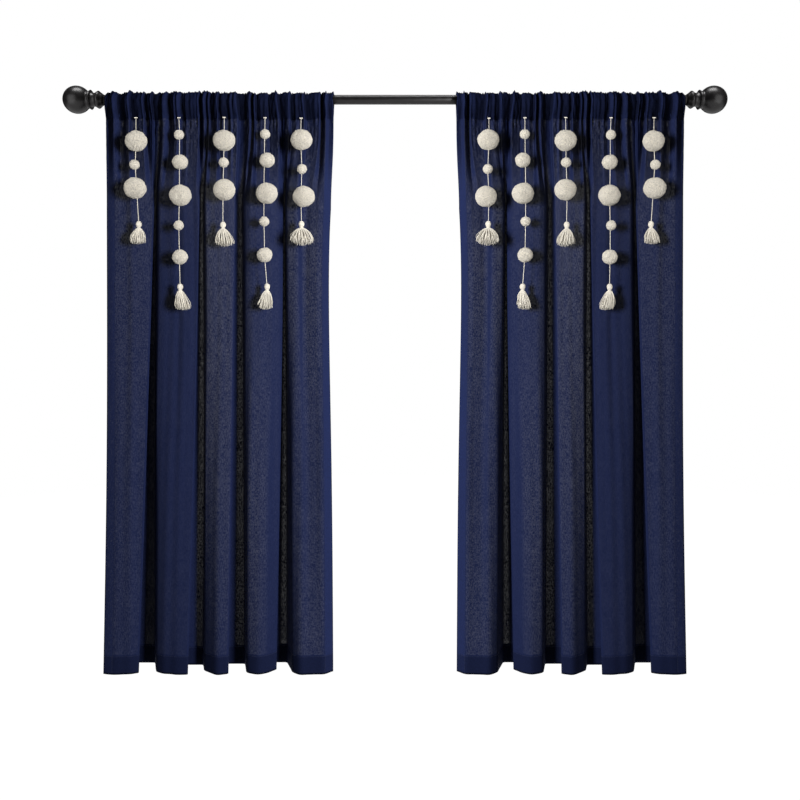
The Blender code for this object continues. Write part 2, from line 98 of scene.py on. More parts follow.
# Valleys between the folds, in mm: where the front on the outer side ends, both ends of the
# valley's floor, the floor's depth, and where the next front starts
Valley = namedtuple("Valley", "front_ends floor_starts floor_ends floor_depth next_front_starts")
NECK_VALLEYS = (
    Valley(-658.5, -674.0, -663.0, 25.0, -655.0),
    Valley(-532.5, -544.0, -531.0, 18.0, -524.5),
    Valley(-436.0, -445.0, -423.5, 22.0, -417.5),
    Valley(-306.0, -312.0, -306.0, 26.0, -301.5),
)
HEM_VALLEYS = (
    Valley(-695.5, -722.0, -672.0, 42.0, -651.5),
    Valley(-559.5, -580.0, -534.0, 27.0, -522.0),
    Valley(-451.0, -468.0, -419.0, 34.0, -405.5),
    Valley(-324.5, -335.0, -303.0, 44.0, -279.0),
)
SEAM_VALLEYS = (-652.0, -528.5, -415.5, -305.5)
FRONT_DEPTH = {"neck": -18.0, "hem": -40.0}

# Cross section of each fold at both levels: share of its width from the outer side on, and how
# far it lies behind its crest in mm
FRONT_SHAPES = {
    "neck": (
        ((0.0, 4.4), (0.12, 1.8), (0.27, 0.0), (0.6, 2.0), (1.0, 8.0)),
        ((0.0, 15.0), (0.045, 11.5), (0.09, 8.8), (0.134, 6.8), (0.18, 6.0), (0.83, 0.0), (1.0, 0.4)),
        ((0.0, 9.6), (0.062, 5.0), (0.123, 1.7), (0.185, 0.0), (0.55, 0.0), (0.9, 3.8), (1.0, 5.6)),
        ((0.0, 12.0), (0.05, 7.0), (0.1, 3.0), (0.15, 1.0), (0.2, 0), (0.55, 3.6), (0.76, 12.4), (1.0, 24)),
        (
            (0.0, 12.0), (0.05, 6.0), (0.1, 2.5), (0.174, 0.0), (0.31, 0.0), (0.37, 14.0), (0.46, 19.0),
            (0.74, 0.0), (0.83, 6.0), (0.9, 9.0), (1.0, 18.0),
        ),
    ),
    "hem": (
        ((0.0, 6.6), (0.12, 2.8), (0.27, 0.0), (0.6, 3.0), (1.0, 12.0)),
        ((0.0, 19.8), (0.059, 16.6), (0.118, 13.7), (0.237, 9.3), (0.3, 7.7), (0.83, 0.0), (1.0, 0.6)),
        ((0.0, 28.0), (0.16, 18.4), (0.32, 9.7), (0.48, 2.6), (0.65, 0.0), (0.9, 4.8), (1.0, 8.4)),
        ((0.0, 20.0), (0.135, 10.8), (0.27, 4.0), (0.47, 0.0), (0.6, 6.0), (0.78, 18.6), (1.0, 36.0)),
        (
            (0.0, 17.5), (0.1, 7.9), (0.148, 4.3), (0.2, 1.6), (0.25, 0.0), (0.6, 1.8), (0.8, 6.0),
            (1.0, 24.0),
        ),
    ),
}
FRONT_STEPS = (0.0, 0.05, 0.1, 0.15, 0.2, 0.25, 0.31, 0.37, 0.46, 0.56, 0.65, 0.74, 0.83, 0.9, 1.0)

# How far the outer edge, the valleys and the inner edge bow inwards half way down, and how far
# they are drawn in below the neck, in mm
BOWS = (3.6, 0.5, 2.5, 1.0, 1.7, 0.0)
WAISTS = (0.0, 0.0, 0.0, 0.0, 0.0, -6.6)

# Ridges and clefts of the gathered pocket, from the outer edge in: where each lies at the seam
# and on top of the rod, in mm, and how far forward it stands at both, from 0 to 1
Pleat = namedtuple("Pleat", "seam_x top_x seam_forward top_forward")
PLEATS = [
    Pleat(*place)
    for place in (
        (-796, -789.5, 0.35, 0.35), (-792, -786, 0.25, 0.25), (-771, -766.5, 0.9, 0.85),
        (-767.5, -763, 0.95, 0.9), (-758, -755, 0.68, 0.62), (-762, -757, 0.05, 0.05),
        (-757, -752, 0.05, 0.05), (-729.5, -725.5, 0.85, 0.8), (-726.5, -723, 0.93, 0.88),
        (-725, -720.5, 0.6, 0.55), (-727.5, -721.5, 0.12, 0.1), (-691, -687.5, 0.82, 0.77),
        (-687.5, -685, 0.92, 0.87), (-686, -683, 0.6, 0.55), (-689, -684.5, 0.05, 0.05),
        (-687.5, -683, 0.05, 0.05), (-666.5, -666, 0.7, 0.65), (-663.5, -663.5, 0.78, 0.74),
        (-665, -663.5, 0.4, 0.4), (-666, -663.5, 0.05, 0.03), (-652, -645.5, 0.38, 0.34),
        (-650.5, -643.5, 0.32, 0.3), (-634, -626, 0.88, 0.84), (-630, -622.5, 0.97, 0.93),
        (-622.5, -619, 0.65, 0.6), (-624.5, -619.5, 0.08, 0.08), (-600, -596, 0.82, 0.82),
        (-595.5, -592, 0.95, 0.95), (-586.5, -582, 0.65, 0.65), (-589, -582.5, 0.04, 0.04),
        (-572, -566.5, 0.5, 0.54), (-570, -564.5, 0.42, 0.44), (-538, -534, 0.92, 0.9),
        (-536, -532, 0.95, 0.93), (-537, -532.5, 0.45, 0.45), (-538.5, -533, 0.05, 0.05),
        (-523.5, -519.5, 0.85, 0.85), (-520.5, -516, 0.95, 0.95), (-518, -513, 0.6, 0.6),
        (-518, -512.5, 0.3, 0.3), (-509.5, -505.5, 0.82, 0.82), (-508, -504, 0.85, 0.85),
        (-508.5, -503.5, 0.4, 0.4), (-508.5, -503.5, 0.12, 0.12), (-488, -485, 0.78, 0.76),
        (-485.5, -482.5, 0.88, 0.88), (-485, -481, 0.5, 0.5), (-486.5, -481, 0.05, 0.05),
        (-476, -472, 0.34, 0.34), (-470, -465.5, 0.38, 0.38), (-462, -458, 0.3, 0.3),
        (-449.5, -446.5, 0.72, 0.74), (-448, -444.5, 0.74, 0.76), (-446.5, -443, 0.58, 0.6),
        (-445, -441.5, 0.55, 0.58), (-432.5, -436.5, 0.84, 0.88), (-430.5, -434.5, 0.86, 0.9),
        (-429, -432, 0.5, 0.5), (-430, -432, 0.02, 0.02), (-414, -410.5, 0.3, 0.22),
        (-400, -396, 0.86, 0.82), (-397.5, -393.5, 0.92, 0.9), (-394.5, -390.5, 0.6, 0.55),
        (-395.5, -390.5, 0.06, 0.06), (-384.5, -381, 0.82, 0.8), (-383, -380, 0.86, 0.84),
        (-383, -379.5, 0.5, 0.5), (-384, -379.5, 0.02, 0.02), (-366, -362.5, 0.44, 0.44),
        (-363.5, -360, 0.38, 0.38), (-348, -345.5, 0.62, 0.58), (-348, -344.5, 0.1, 0.08),
        (-318.5, -324.5, 0.88, 0.86), (-316.5, -323, 0.91, 0.9), (-317, -322.5, 0.45, 0.45),
        (-317, -321.5, 0.03, 0.03), (-300.5, -298.5, 0.55, 0.55), (-293.5, -291, 0.78, 0.76),
        (-291, -288.5, 0.9, 0.88), (-286.5, -284, 0.55, 0.55), (-286.5, -283.5, 0.08, 0.08),
        (-276.5, -274, 0.36, 0.36), (-259, -259, 0.54, 0.54), (-251, -253.5, 0.74, 0.8),
        (-247.5, -251.5, 0.8, 0.84), (-246, -249.5, 0.4, 0.35), (-245, -248.5, 0.06, 0.05),
        (-208, -206.5, 0.85, 0.85), (-206, -204.5, 0.9, 0.88), (-204.5, -202.5, 0.45, 0.45),
        (-204, -201.5, 0.05, 0.05), (-192.5, -191, 0.85, 0.85), (-190, -189, 0.92, 0.9),
        (-184, -182.5, 0.56, 0.54), (-168, -168, 0.8, 0.8),
    )
]

# Lines of the pocket round the rod, in mm: place of the pleats' middle, how far round the rod in
# degrees from the front, and the share of the pleats' depth that is left there
PocketLine = namedtuple("PocketLine", "y z turn share")
POCKET_LINES = (
    PocketLine(0.0, -52.0, 0.0, 1.0),
    PocketLine(-25.0, -10.0, 0.0, 0.90),
    PocketLine(-19.0, 13.0, 50.0, 0.60),
    PocketLine(0.0, 16.8, 90.0, 0.34),
    PocketLine(17.5, 13.0, 130.0, 0.50),
    PocketLine(23.0, -10.0, 180.0, 0.85),
    PocketLine(0.0, -52.0, 180.0, 1.0),
)

# Room between the rod and the cloth round it, and the height at which the pleats have their top
# places
ROD_CLEARANCE = 0.0012
POCKET_TOP = 0.015

# Waves that make the folds uneven: size, how many across the cloth, and phase
Wave = namedtuple("Wave", "size waves phase")
SWAY_FORWARD = (Wave(0.003, 2.3, 2.0),)
SOFT_TROUGHS = (Wave(0.0012, 13.0, 0.5), Wave(0.0007, 21.0, 2.2), Wave(0.0004, 34.0, 4.0))

# The troughs wander from side to side on their way down: how far, how fast, and from where. They
# grow in over this height below the seam
Wander = namedtuple("Wander", "size rate start")
TROUGH_WANDER = (Wander(1.7, 2.1, 0.0), Wander(0.8, 5.3, 1.0))
TROUGH_FADE = 0.25

# What counts as a fold's front: how deep it may lie at most, and over what depth that fades out.
# The one is for what is left of the pleats, and the other for the troughs
Front = namedtuple("Front", "deepest fade")
PLEATED_FRONT = Front(0.004, 0.018)
TROUGHED_FRONT = Front(0.010, 0.020)

# How the pleats open into folds between seam and neck, how fast the creases die out there, and
# the largest value of the curve that draws the inner edge in
OPENING_EASE = 1.4
CREASING_EASE = 3
WAIST_PEAK = 0.082

# Small pleats of the pocket in three sizes: the layers of noise that they and the creases are read
# from, width and depth of the first size, and the shares of those that the finer two have
NOISE_LAYERS = {"pleats": 7.0, "creases": 11.0}
FINE_PLEAT_WIDTH = 0.0065
FINE_PLEAT_DEPTH = 0.0048
FINER_SHARE = 0.55
FINER_DEPTH = 0.6
FINEST_SHARE = 0.4

# Creases of the tight gathers: width, height and depth, and how far they move on for a degree
# round the rod
CRUMPLE_SIZE = (0.0045, 0.019)
CRUMPLE_DEPTH = 0.0042
CRUMPLE_STEP = 0.0003

# Teeth that the pleats make along the pocket's top: their height, what each kind of pleat gives
# to it, and where the fine ones stand highest
Teeth = namedtuple("Teeth", "ridges fine finer finest")
TOOTH_HEIGHT = 0.0055
TOOTH_SHARES = Teeth(0.5, 1.8, 1.1, 1.3)
TOOTH_LEVEL = 0.3

# How open each of the two layers of a side hem is drawn, so that a little light passes both
SIDE_HEM_SHEER = 3.4

# How open the outer half of each valley is drawn, which turns in under the fold beside it
CREVICE_SHARE = 0.05

# Across a valley, from its middle: where the fold before it ends, where the turned in cloth starts
# and ends, where the open floor starts and ends, and where the next fold starts
VALLEY_PLACES = (-0.050, -0.038, -0.004, 0.002, 0.038, 0.050)

# Cloth that turns away from the room looks closed: what is left of its openness, how far it has to
# face the room to open, and over what range it does
LEAST_OPEN = 0.12
FACING_FROM = 0.74
FACING_RANGE = 0.25

# How open the weave shows in each fold and in the valleys between them, from the outer edge in,
# at four heights. The second fold and the first valley have more cloth behind them
Sheer = namedtuple("Sheer", "height folds valleys")
SHEER = (
    Sheer(-1.50, (0.37, 0.19, 0.46, 0.62, 0.80), (0.20, 0.33, 0.43, 0.80)),
    Sheer(-1.05, (0.50, 0.17, 1.00, 1.02, 0.65), (0.12, 0.95, 0.80, 1.15)),
    Sheer(-0.45, (0.80, 0.25, 1.60, 0.70, 1.35), (0.17, 1.60, 0.90, 0.65)),
    Sheer(-0.10, (0.90, 0.90, 1.10, 0.90, 0.90), (0.90, 0.90, 0.90, 0.90)),
)

# Strings of the left curtain from the outside in, in mm. The skirt is its tassel's: its reach is
# half its width, its sway how far its foot hangs to the side, and its cut how much shorter its
# outer strands are than the middle ones
String = namedtuple("String", "tassel_x head_z skirt_length skirt_reach skirt_sway skirt_cut yarn_x")
STRINGS = (
    String(-688.3, -349.0, 52.0, 20.5, -3.0, 0.08, (-697.5, -700.0, -695.0)),
    String(-576.3, -517.5, 61.0, 19.5, 9.0, 0.08, (-585.0, -582.0, -577.5, -579.0, -578.0)),
    String(-461.2, -351.0, 57.5, 24.0, 5.0, 0.17, (-460.0, -461.0, -462.0)),
    String(-342.8, -517.0, 60.0, 18.5, -4.5, 0.08, (-353.5, -352.5, -351.5, -351.0, -349.5)),
    String(-250.8, -349.0, 57.0, 32.0, 2.5, 0.26, (-254.0, -250.0, -252.5)),
)

# Turned outline of a finial's neck in mm, from the ball towards the rod
Ring = namedtuple("Ring", "from_centre radius")
FINIAL_NECK = [
    Ring(*ring)
    for ring in (
        (31.8, 23.4), (33.4, 24.2), (35, 24.3), (35.8, 22.6), (36.8, 23), (38, 26.3), (38.9, 26.9),
        (39.7, 26), (40.6, 21), (42.6, 19.8), (46.5, 18.8), (50, 18.6), (53, 19.8), (56, 22.4),
        (59.4, 24.2), (61.6, 23.8), (64.6, 21), (67.2, 18.9), (70, 17), (72.6, 15.2), (73.9, 13.2),
    )
]


def linear(value):
    return value / 12.92 if value <= 0.04045 else ((value + 0.055) / 1.055) ** 2.4


def srgb(colour):
    """Linear red, green and blue of an sRGB colour written as a hexadecimal number."""
    return tuple(linear((colour >> shift & 255) / 255) for shift in (16, 8, 0))


class ClothSettings(bpy.types.PropertyGroup):
    """Sizes and colours of the two panels."""

    colour: bpy.props.FloatVectorProperty(
        name="Cloth colour", description="Dye of the voile", subtype="COLOR", size=3,
        min=0.0, max=1.0, default=srgb(0x1A2243),
    )
    openness: bpy.props.FloatProperty(
        name="Openness", description="Share of light that passes between the threads of one layer",
        default=0.044, min=0.0, max=1.0, subtype="FACTOR",
    )
    hem: bpy.props.FloatProperty(
        name="Hem", description="Height of the folded bottom hem", default=0.052, unit="LENGTH",
    )
    side_hem: bpy.props.FloatProperty(
        name="Side hem", description="Width of the folded side hems", default=0.028, unit="LENGTH",
    )
    column: bpy.props.FloatProperty(
        name="Column", description="Width of a mesh column across the cloth", default=0.0031,
        unit="LENGTH",
    )
    stitch: bpy.props.FloatProperty(
        name="Stitch pitch", description="Length of one stitch with its gap", default=0.0036,
        unit="LENGTH",
    )


class YarnSettings(bpy.types.PropertyGroup):
    """Sizes and colours of the pompoms, tassels and the yarn they hang on."""

    colour: bpy.props.FloatVectorProperty(
        name="Wool colour", description="Undyed wool", subtype="COLOR", size=3,
        min=0.0, max=1.0, default=srgb(0xEDE6D6),
    )
    end_area: bpy.props.FloatProperty(
        name="Yarn end area", description="Surface of a pompom that one cut yarn end takes up",
        default=5.91e-06, unit="AREA",
    )
    strands: bpy.props.IntProperty(
        name="Tassel strands", description="Strands in the skirt of a tassel", default=150, min=20,
    )
    yarn_radius: bpy.props.FloatProperty(
        name="Yarn radius", description="Radius of the hanging yarn", default=0.00092, unit="LENGTH",
    )


class RodSettings(bpy.types.PropertyGroup):
    """Finish of the rod and its finials."""

    colour: bpy.props.FloatVectorProperty(
        name="Paint colour", description="Oil rubbed bronze paint", subtype="COLOR", size=3,
        min=0.0, max=1.0, default=srgb(0x171516),
    )
    facets: bpy.props.IntProperty(
        name="Facets", description="Faces round the rod and the finials", default=64, min=16,
    )


class StudioSettings(bpy.types.PropertyGroup):
    """Lamp powers, the room's fill light and the floor's height."""

    key_power: bpy.props.FloatProperty(
        name="Key lamp", description="Power of each key lamp", default=115.0, unit="POWER",
    )
    top_power: bpy.props.FloatProperty(
        name="Top lamp", description="Power of the lamp over the rod", default=48.0, unit="POWER",
    )
    finial_power: bpy.props.FloatProperty(
        name="Finial lamp", description="Power of the lamp over each finial", default=24.0,
        unit="POWER",
    )
    beside_power: bpy.props.FloatProperty(
        name="Finial side lamp", description="Power of the broad lamp beside each finial", default=42.0,
        unit="POWER",
    )
    back_power: bpy.props.FloatProperty(
        name="Back lamp", description="Power of the lamp that shows the back of the cloth",
        default=90.0, unit="POWER",
    )
    wool_power: bpy.props.FloatProperty(
        name="Wool lamp", description="Power of each lamp that softens the shade of the pompoms",
        default=30.0, unit="POWER",
    )
    fill: bpy.props.FloatProperty(
        name="Fill", description="Light from the white room all round", default=0.045, min=0.0,
    )
    floor_height: bpy.props.FloatProperty(
        name="Floor height", description="Height of the floor below the rod", default=-2.15,
        unit="LENGTH",
    )


def settings():
    return bpy.context.scene.pompom_curtains


class CurtainSettings(bpy.types.PropertyGroup):
    """Everything a user would change."""

    cloth: bpy.props.PointerProperty(type=ClothSettings)
    yarn: bpy.props.PointerProperty(type=YarnSettings)
    rod: bpy.props.PointerProperty(type=RodSettings)
    studio: bpy.props.PointerProperty(type=StudioSettings)


def feed(tree, node, sockets):
    """Gives each socket of a node its value, or the output that feeds it."""
    for name, value in sockets.items():
        if isinstance(value, bpy.types.NodeSocket):
            tree.links.new(value, node.inputs[name])
        else:
            node.inputs[name].default_value = value


def add_node(tree, kind, sockets=None, output=0, **options):
    """Adds a shader node and returns one of its outputs.

    Sockets go by name, or by number where the name is no help. A Map Range takes a value, the two
    ends it is read between and the two it is set between as 0 to 4. A Mix of colours takes its
    share and two colours as 0, 6 and 7, and its output is 2.
    """
    node = tree.nodes.new("ShaderNode" + kind)
    for name, value in options.items():
        setattr(node, name, value)
    feed(tree, node, sockets or {})
    return node.outputs[output] if node.outputs else None


def new_finish(name):
    material = bpy.data.materials.new(name)
    material.use_nodes = True
    tree = material.node_tree
    return material, tree, tree.nodes["Principled BSDF"]


def grain(tree, coordinates, size, detail=2.0):
    """A cloudy pattern whose blobs have a real size along each axis, in metres."""
    scale = Vector([1.0 / length for length in size])
    placed = add_node(tree, "VectorMath", {0: coordinates, 1: scale}, operation="MULTIPLY")
    return add_node(tree, "TexNoise", {"Vector": placed, "Scale": 1.0, "Detail": detail})


def shade(colour, factor):
    return (*(channel * factor for channel in colour), 1.0)


# Layers of the slubs in the voile: share of each, and the size of its blobs across and along
VOILE_SLUBS = (
    (0.30, (0.0026, 0.013)),
    (0.14, (0.013, 0.0030)),
    (0.44, (0.0030, 0.0055)),
    (0.12, (0.022, 0.045)),
)


def voile_finish(name, cloth):
    """Polyester voile woven with linen-like slubs and dyed navy.

    It gives the eye a flat, matt blue that turns grey and speckled where one layer faces you and
    the white room shows between the threads, and deep blue where the cloth is doubled. Painted light
    and shade scale its colour: lighter down the side hems, darker along the bottom hem and in the pocket.
    """
    material, tree, shader = new_finish(name)
    uv = add_node(tree, "UVMap", uv_map="cloth")
    sheer = add_node(tree, "Attribute", output="Fac", attribute_name="sheer")
    # Slubs of about 0.5 mm are drawn three to five times as thick, to show from two metres away
    slubs = 0.0
    for share, size in VOILE_SLUBS:
        layer = grain(tree, uv, (*size, 1.0))
        weighed = add_node(tree, "Math", {0: layer, 1: share}, operation="MULTIPLY")
        slubs = add_node(tree, "Math", {0: weighed, 1: slubs}, operation="ADD")
    gaps = add_node(tree, "MapRange", {0: slubs, 1: 0.44, 2: 0.62})
    opened = add_node(tree, "Math", {0: gaps, 1: sheer}, operation="MULTIPLY")
    light = add_node(tree, "Math", {0: opened, 1: cloth.openness}, operation="MULTIPLY")
    closed = add_node(tree, "Math", {0: 1.0, 1: light}, operation="SUBTRACT")
    slubbed = add_node(tree, "MapRange", {0: slubs, 1: 0.38, 2: 0.62})
    dyes = {0: slubbed, 6: shade(cloth.colour, 0.86), 7: shade(cloth.colour, 1.16)}
    dyed = add_node(tree, "Mix", dyes, output=2, data_type="RGBA")
    # Painted light and shade scale the dyed colour: lighter down the side hems, darker along the bottom hem
    # and in the pocket
    tone = add_node(tree, "Attribute", output="Fac", attribute_name="tone")
    dye_with_painted_light_and_shade = add_node(tree, "VectorMath", {"Vector": dyed, "Scale": tone}, operation="SCALE")
    # Threads lie 0.5 mm apart; they are drawn at 1 mm for the same reason
    threads = [
        add_node(
            tree, "TexWave", {"Vector": uv, "Scale": 320.0, "Distortion": 0.6, "Detail": 1.0},
            output="Fac", bands_direction=direction,
        )
        for direction in "XY"
    ]
    weave = add_node(tree, "Math", {0: threads[0], 1: threads[1]}, operation="MAXIMUM")
    raised = add_node(tree, "Math", {0: weave, 1: 0.25}, operation="MULTIPLY")
    height = add_node(tree, "Math", {0: raised, 1: slubs}, operation="ADD")
    bump = add_node(tree, "Bump", {"Strength": 0.35, "Distance": 0.0006, "Height": height})
    matt = add_node(tree, "MapRange", {0: slubs, 1: 0.35, 2: 0.65, 3: 0.82, 4: 0.95})
    feed(tree, shader, {"Alpha": closed, "Base Color": dye_with_painted_light_and_shade, "Normal": bump, "Roughness": matt})
    feed(tree, shader, {"Specular IOR Level": 0.06})
    return material


def thread_finish(name, cloth):
    """Polyester sewing thread, spun and dyed to match: a little glossier than the voile."""
    material, tree, shader = new_finish(name)
    place = add_node(tree, "TexCoord", output="Object")
    twist = grain(tree, place, (0.0004, 0.0004, 0.0004))
    dyes = {0: twist, 6: shade(cloth.colour, 0.6), 7: shade(cloth.colour, 1.1)}
    dyed = add_node(tree, "Mix", dyes, output=2, data_type="RGBA")
    feed(tree, shader, {"Base Color": dyed, "Roughness": 0.65})
    return material


# How bright the wool is, cut, spun and as tack thread, beside its colour
CUT_BRIGHTNESS = 0.95
SPUN_BRIGHTNESS = 0.93
TACK_BRIGHTNESS = 1.08

# How the shade between wool fibres is tinted, and how dark the painted shade is down between the tufts
FIBRE_TINT = (0.70, 0.70, 0.74)
DEEP_WOOL = 0.34


def wool_finish(name, yarn, brightness):
    """Undyed wool yarn, carded and loosely spun: warm ivory, fully matt, darker between the fibres, with
    painted shade down between the tufts and inside the tassels' skirts.
    """
    material, tree, shader = new_finish(name)
    place = add_node(tree, "TexCoord", output="Object")
    depth = add_node(tree, "Attribute", output="Fac", attribute_name="depth")
    fibre = grain(tree, place, (0.0011, 0.0011, 0.0011), 4.0)
    tuft = grain(tree, place, (0.0045, 0.0045, 0.0045), 2.0)
    both = add_node(tree, "Math", {0: fibre, 1: tuft}, operation="ADD")
    mottle = add_node(tree, "Math", {0: both, 1: 0.5}, operation="MULTIPLY")
    cool = (*(channel * brightness * tint for channel, tint in zip(yarn.colour, FIBRE_TINT)), 1.0)
    mottled = add_node(tree, "MapRange", {0: mottle, 1: 0.36, 2: 0.60})
    fibres = {0: mottled, 6: cool, 7: shade(yarn.colour, brightness)}
    spun = add_node(tree, "Mix", fibres, output=2, data_type="RGBA")
    # Painted shade: the depth attribute darkens the wool down between the tufts and inside the skirts
    depths = {0: depth, 6: spun, 7: shade(yarn.colour, DEEP_WOOL * brightness)}
    shaded = add_node(tree, "Mix", depths, output=2, data_type="RGBA")
    bump = add_node(tree, "Bump", {"Strength": 0.5, "Distance": 0.0008, "Height": mottle})
    feed(tree, shader, {"Base Color": shaded, "Normal": bump, "Roughness": 1.0})
    feed(tree, shader, {"Specular IOR Level": 0.1, "Sheen Weight": 0.25, "Sheen Roughness": 0.6})
    return material


def bronze_finish(name, rod):
    """Steel and resin sprayed with oil rubbed bronze paint: near black, satin, faintly mottled."""
    material, tree, shader = new_finish(name)
    place = add_node(tree, "TexCoord", output="Object")
    cloud = grain(tree, place, (0.014, 0.014, 0.014), 4.0)
    speck = grain(tree, place, (0.0012, 0.0012, 0.0012), 3.0)
    clouded = add_node(tree, "MapRange", {0: cloud, 1: 0.35, 2: 0.65})
    paints = {0: clouded, 6: shade(rod.colour, 0.8), 7: shade(rod.colour, 1.25)}
    sprayed = add_node(tree, "Mix", paints, output=2, data_type="RGBA")
    satin = add_node(tree, "MapRange", {0: cloud, 1: 0.3, 2: 0.7, 3: 0.33, 4: 0.42})
    bump = add_node(tree, "Bump", {"Strength": 0.12, "Distance": 0.0003, "Height": speck})
    feed(tree, shader, {"Base Color": sprayed, "Roughness": satin, "Normal": bump, "Metallic": 0.3})
    return material


def floor_finish(name):
    """Matt white seamless paper: pale enough to burn out to plain white around the curtains."""
    material, tree, shader = new_finish(name)
    place = add_node(tree, "TexCoord", output="Object")
    fibre = grain(tree, place, (0.004, 0.004, 0.004), 3.0)
    papers = {0: fibre, 6: shade(srgb(0xFFFFFF), 0.92), 7: shade(srgb(0xFFFFFF), 0.96)}
    paper = add_node(tree, "Mix", papers, output=2, data_type="RGBA")
    glow = {"Emission Color": (1.0, 1.0, 1.0, 1.0), "Emission Strength": 1.0}
    feed(tree, shader, {"Base Color": paper, "Roughness": 0.95, **glow})
    return material


def finish_named(name, maker, *choices):
    """A material is made once and then shared."""
    return bpy.data.materials.get(name) or maker(name, *choices)


def finished_piece(name, mesh, material, replaces=()):
    """A new piece of the object, which rides with it and takes the place of its plain parts."""
    piece = bpy.data.objects.new(name, mesh)
    bpy.context.scene.collection.objects.link(piece)
    mesh.materials.append(material)
    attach(piece, "root")
    if replaces:
        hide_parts(*replaces)
    return piece


def mesh_of(name, work):
    mesh = bpy.data.meshes.new(name)
    work.to_mesh(mesh)
    work.free()
    return mesh


def smooth_mesh(name, work):
    for face in work.faces:
        face.smooth = True
    return mesh_of(name, work)


def set_attribute(mesh, name, values):
    attribute = mesh.attributes.new(name, "FLOAT", "POINT")
    attribute.data.foreach_set("value", np.asarray(values, np.float32).ravel())


def unit(vectors):
    """Each of a list of vectors at the length of one."""
    return vectors / np.linalg.norm(vectors, axis=1, keepdims=True)


def smooth_step(value):
    clamped = np.clip(value, 0.0, 1.0)
    return clamped * clamped * (3.0 - 2.0 * clamped)


def on_front(front, depth):
    return smooth_step((front.deepest - depth) / front.fade)


def waved(waves, share, turn=0.0):
    return sum(wave.size * np.sin(FULL_TURN * wave.waves * share + wave.phase + turn) for wave in waves)


def noise_along(places, width, row):
    """Smooth noise from -1 to 1 whose waves are about a given width."""
    layer = NOISE_LAYERS["pleats"]
    return np.array([noise.noise(Vector((place / width, row, layer))) for place in places])


def crumpled(places, height):
    """Small creases where the cloth is gathered tightly on the rod."""
    wide, tall = CRUMPLE_SIZE
    layer = NOISE_LAYERS["creases"]
    return np.array([noise.noise(Vector((x / wide, height / tall, layer))) for x in places]) * CRUMPLE_DEPTH


def corner_path(level, valleys):
    """Corners of the folds across one level: their places, and the index of each valley's floor."""
    edges, front = EDGES[level], FRONT_DEPTH[level]
    starts = [edges.outer_x, *(valley.next_front_starts for valley in valleys)]
    ends = [*(valley.front_ends for valley in valleys), edges.inner_x]
    path, floors = [], []
    for start, end, shape, valley in zip(starts, ends, FRONT_SHAPES[level], [*valleys, None]):
        shares, depths = zip(*shape)
        for share in FRONT_STEPS:
            path.append((start + share * (end - start), front + np.interp(share, shares, depths)))
        if valley:
            floors.append(len(path))
            path.append((valley.floor_starts, valley.floor_depth))
            path.append((valley.floor_ends, valley.floor_depth))
    return np.array(path) * MM, floors


def lengths_along(path):
    steps = np.linalg.norm(np.diff(path, axis=0), axis=1)
    return np.concatenate([[0.0], np.cumsum(steps)])


def softened(cloth, values, at, softness):
    """Reads a run of corners with each corner rounded off."""
    first = (values[1] - values[0]) / (cloth[1] - cloth[0])
    last = (values[-1] - values[-2]) / (cloth[-1] - cloth[-2])
    reach = 2 * np.max(softness)
    places = [cloth[0] - reach, *cloth, cloth[-1] + reach]
    padded = [values[0] - reach * first, *values, values[-1] + reach * last]
    taps = np.linspace(-1.0, 1.0, CORNER_TAPS)
    weights = 1.0 - TAP_FALL * np.abs(taps)
    reads = [np.interp(at + tap * softness, places, padded) for tap in taps]
    return np.tensordot(weights, reads, axes=1) / weights.sum()


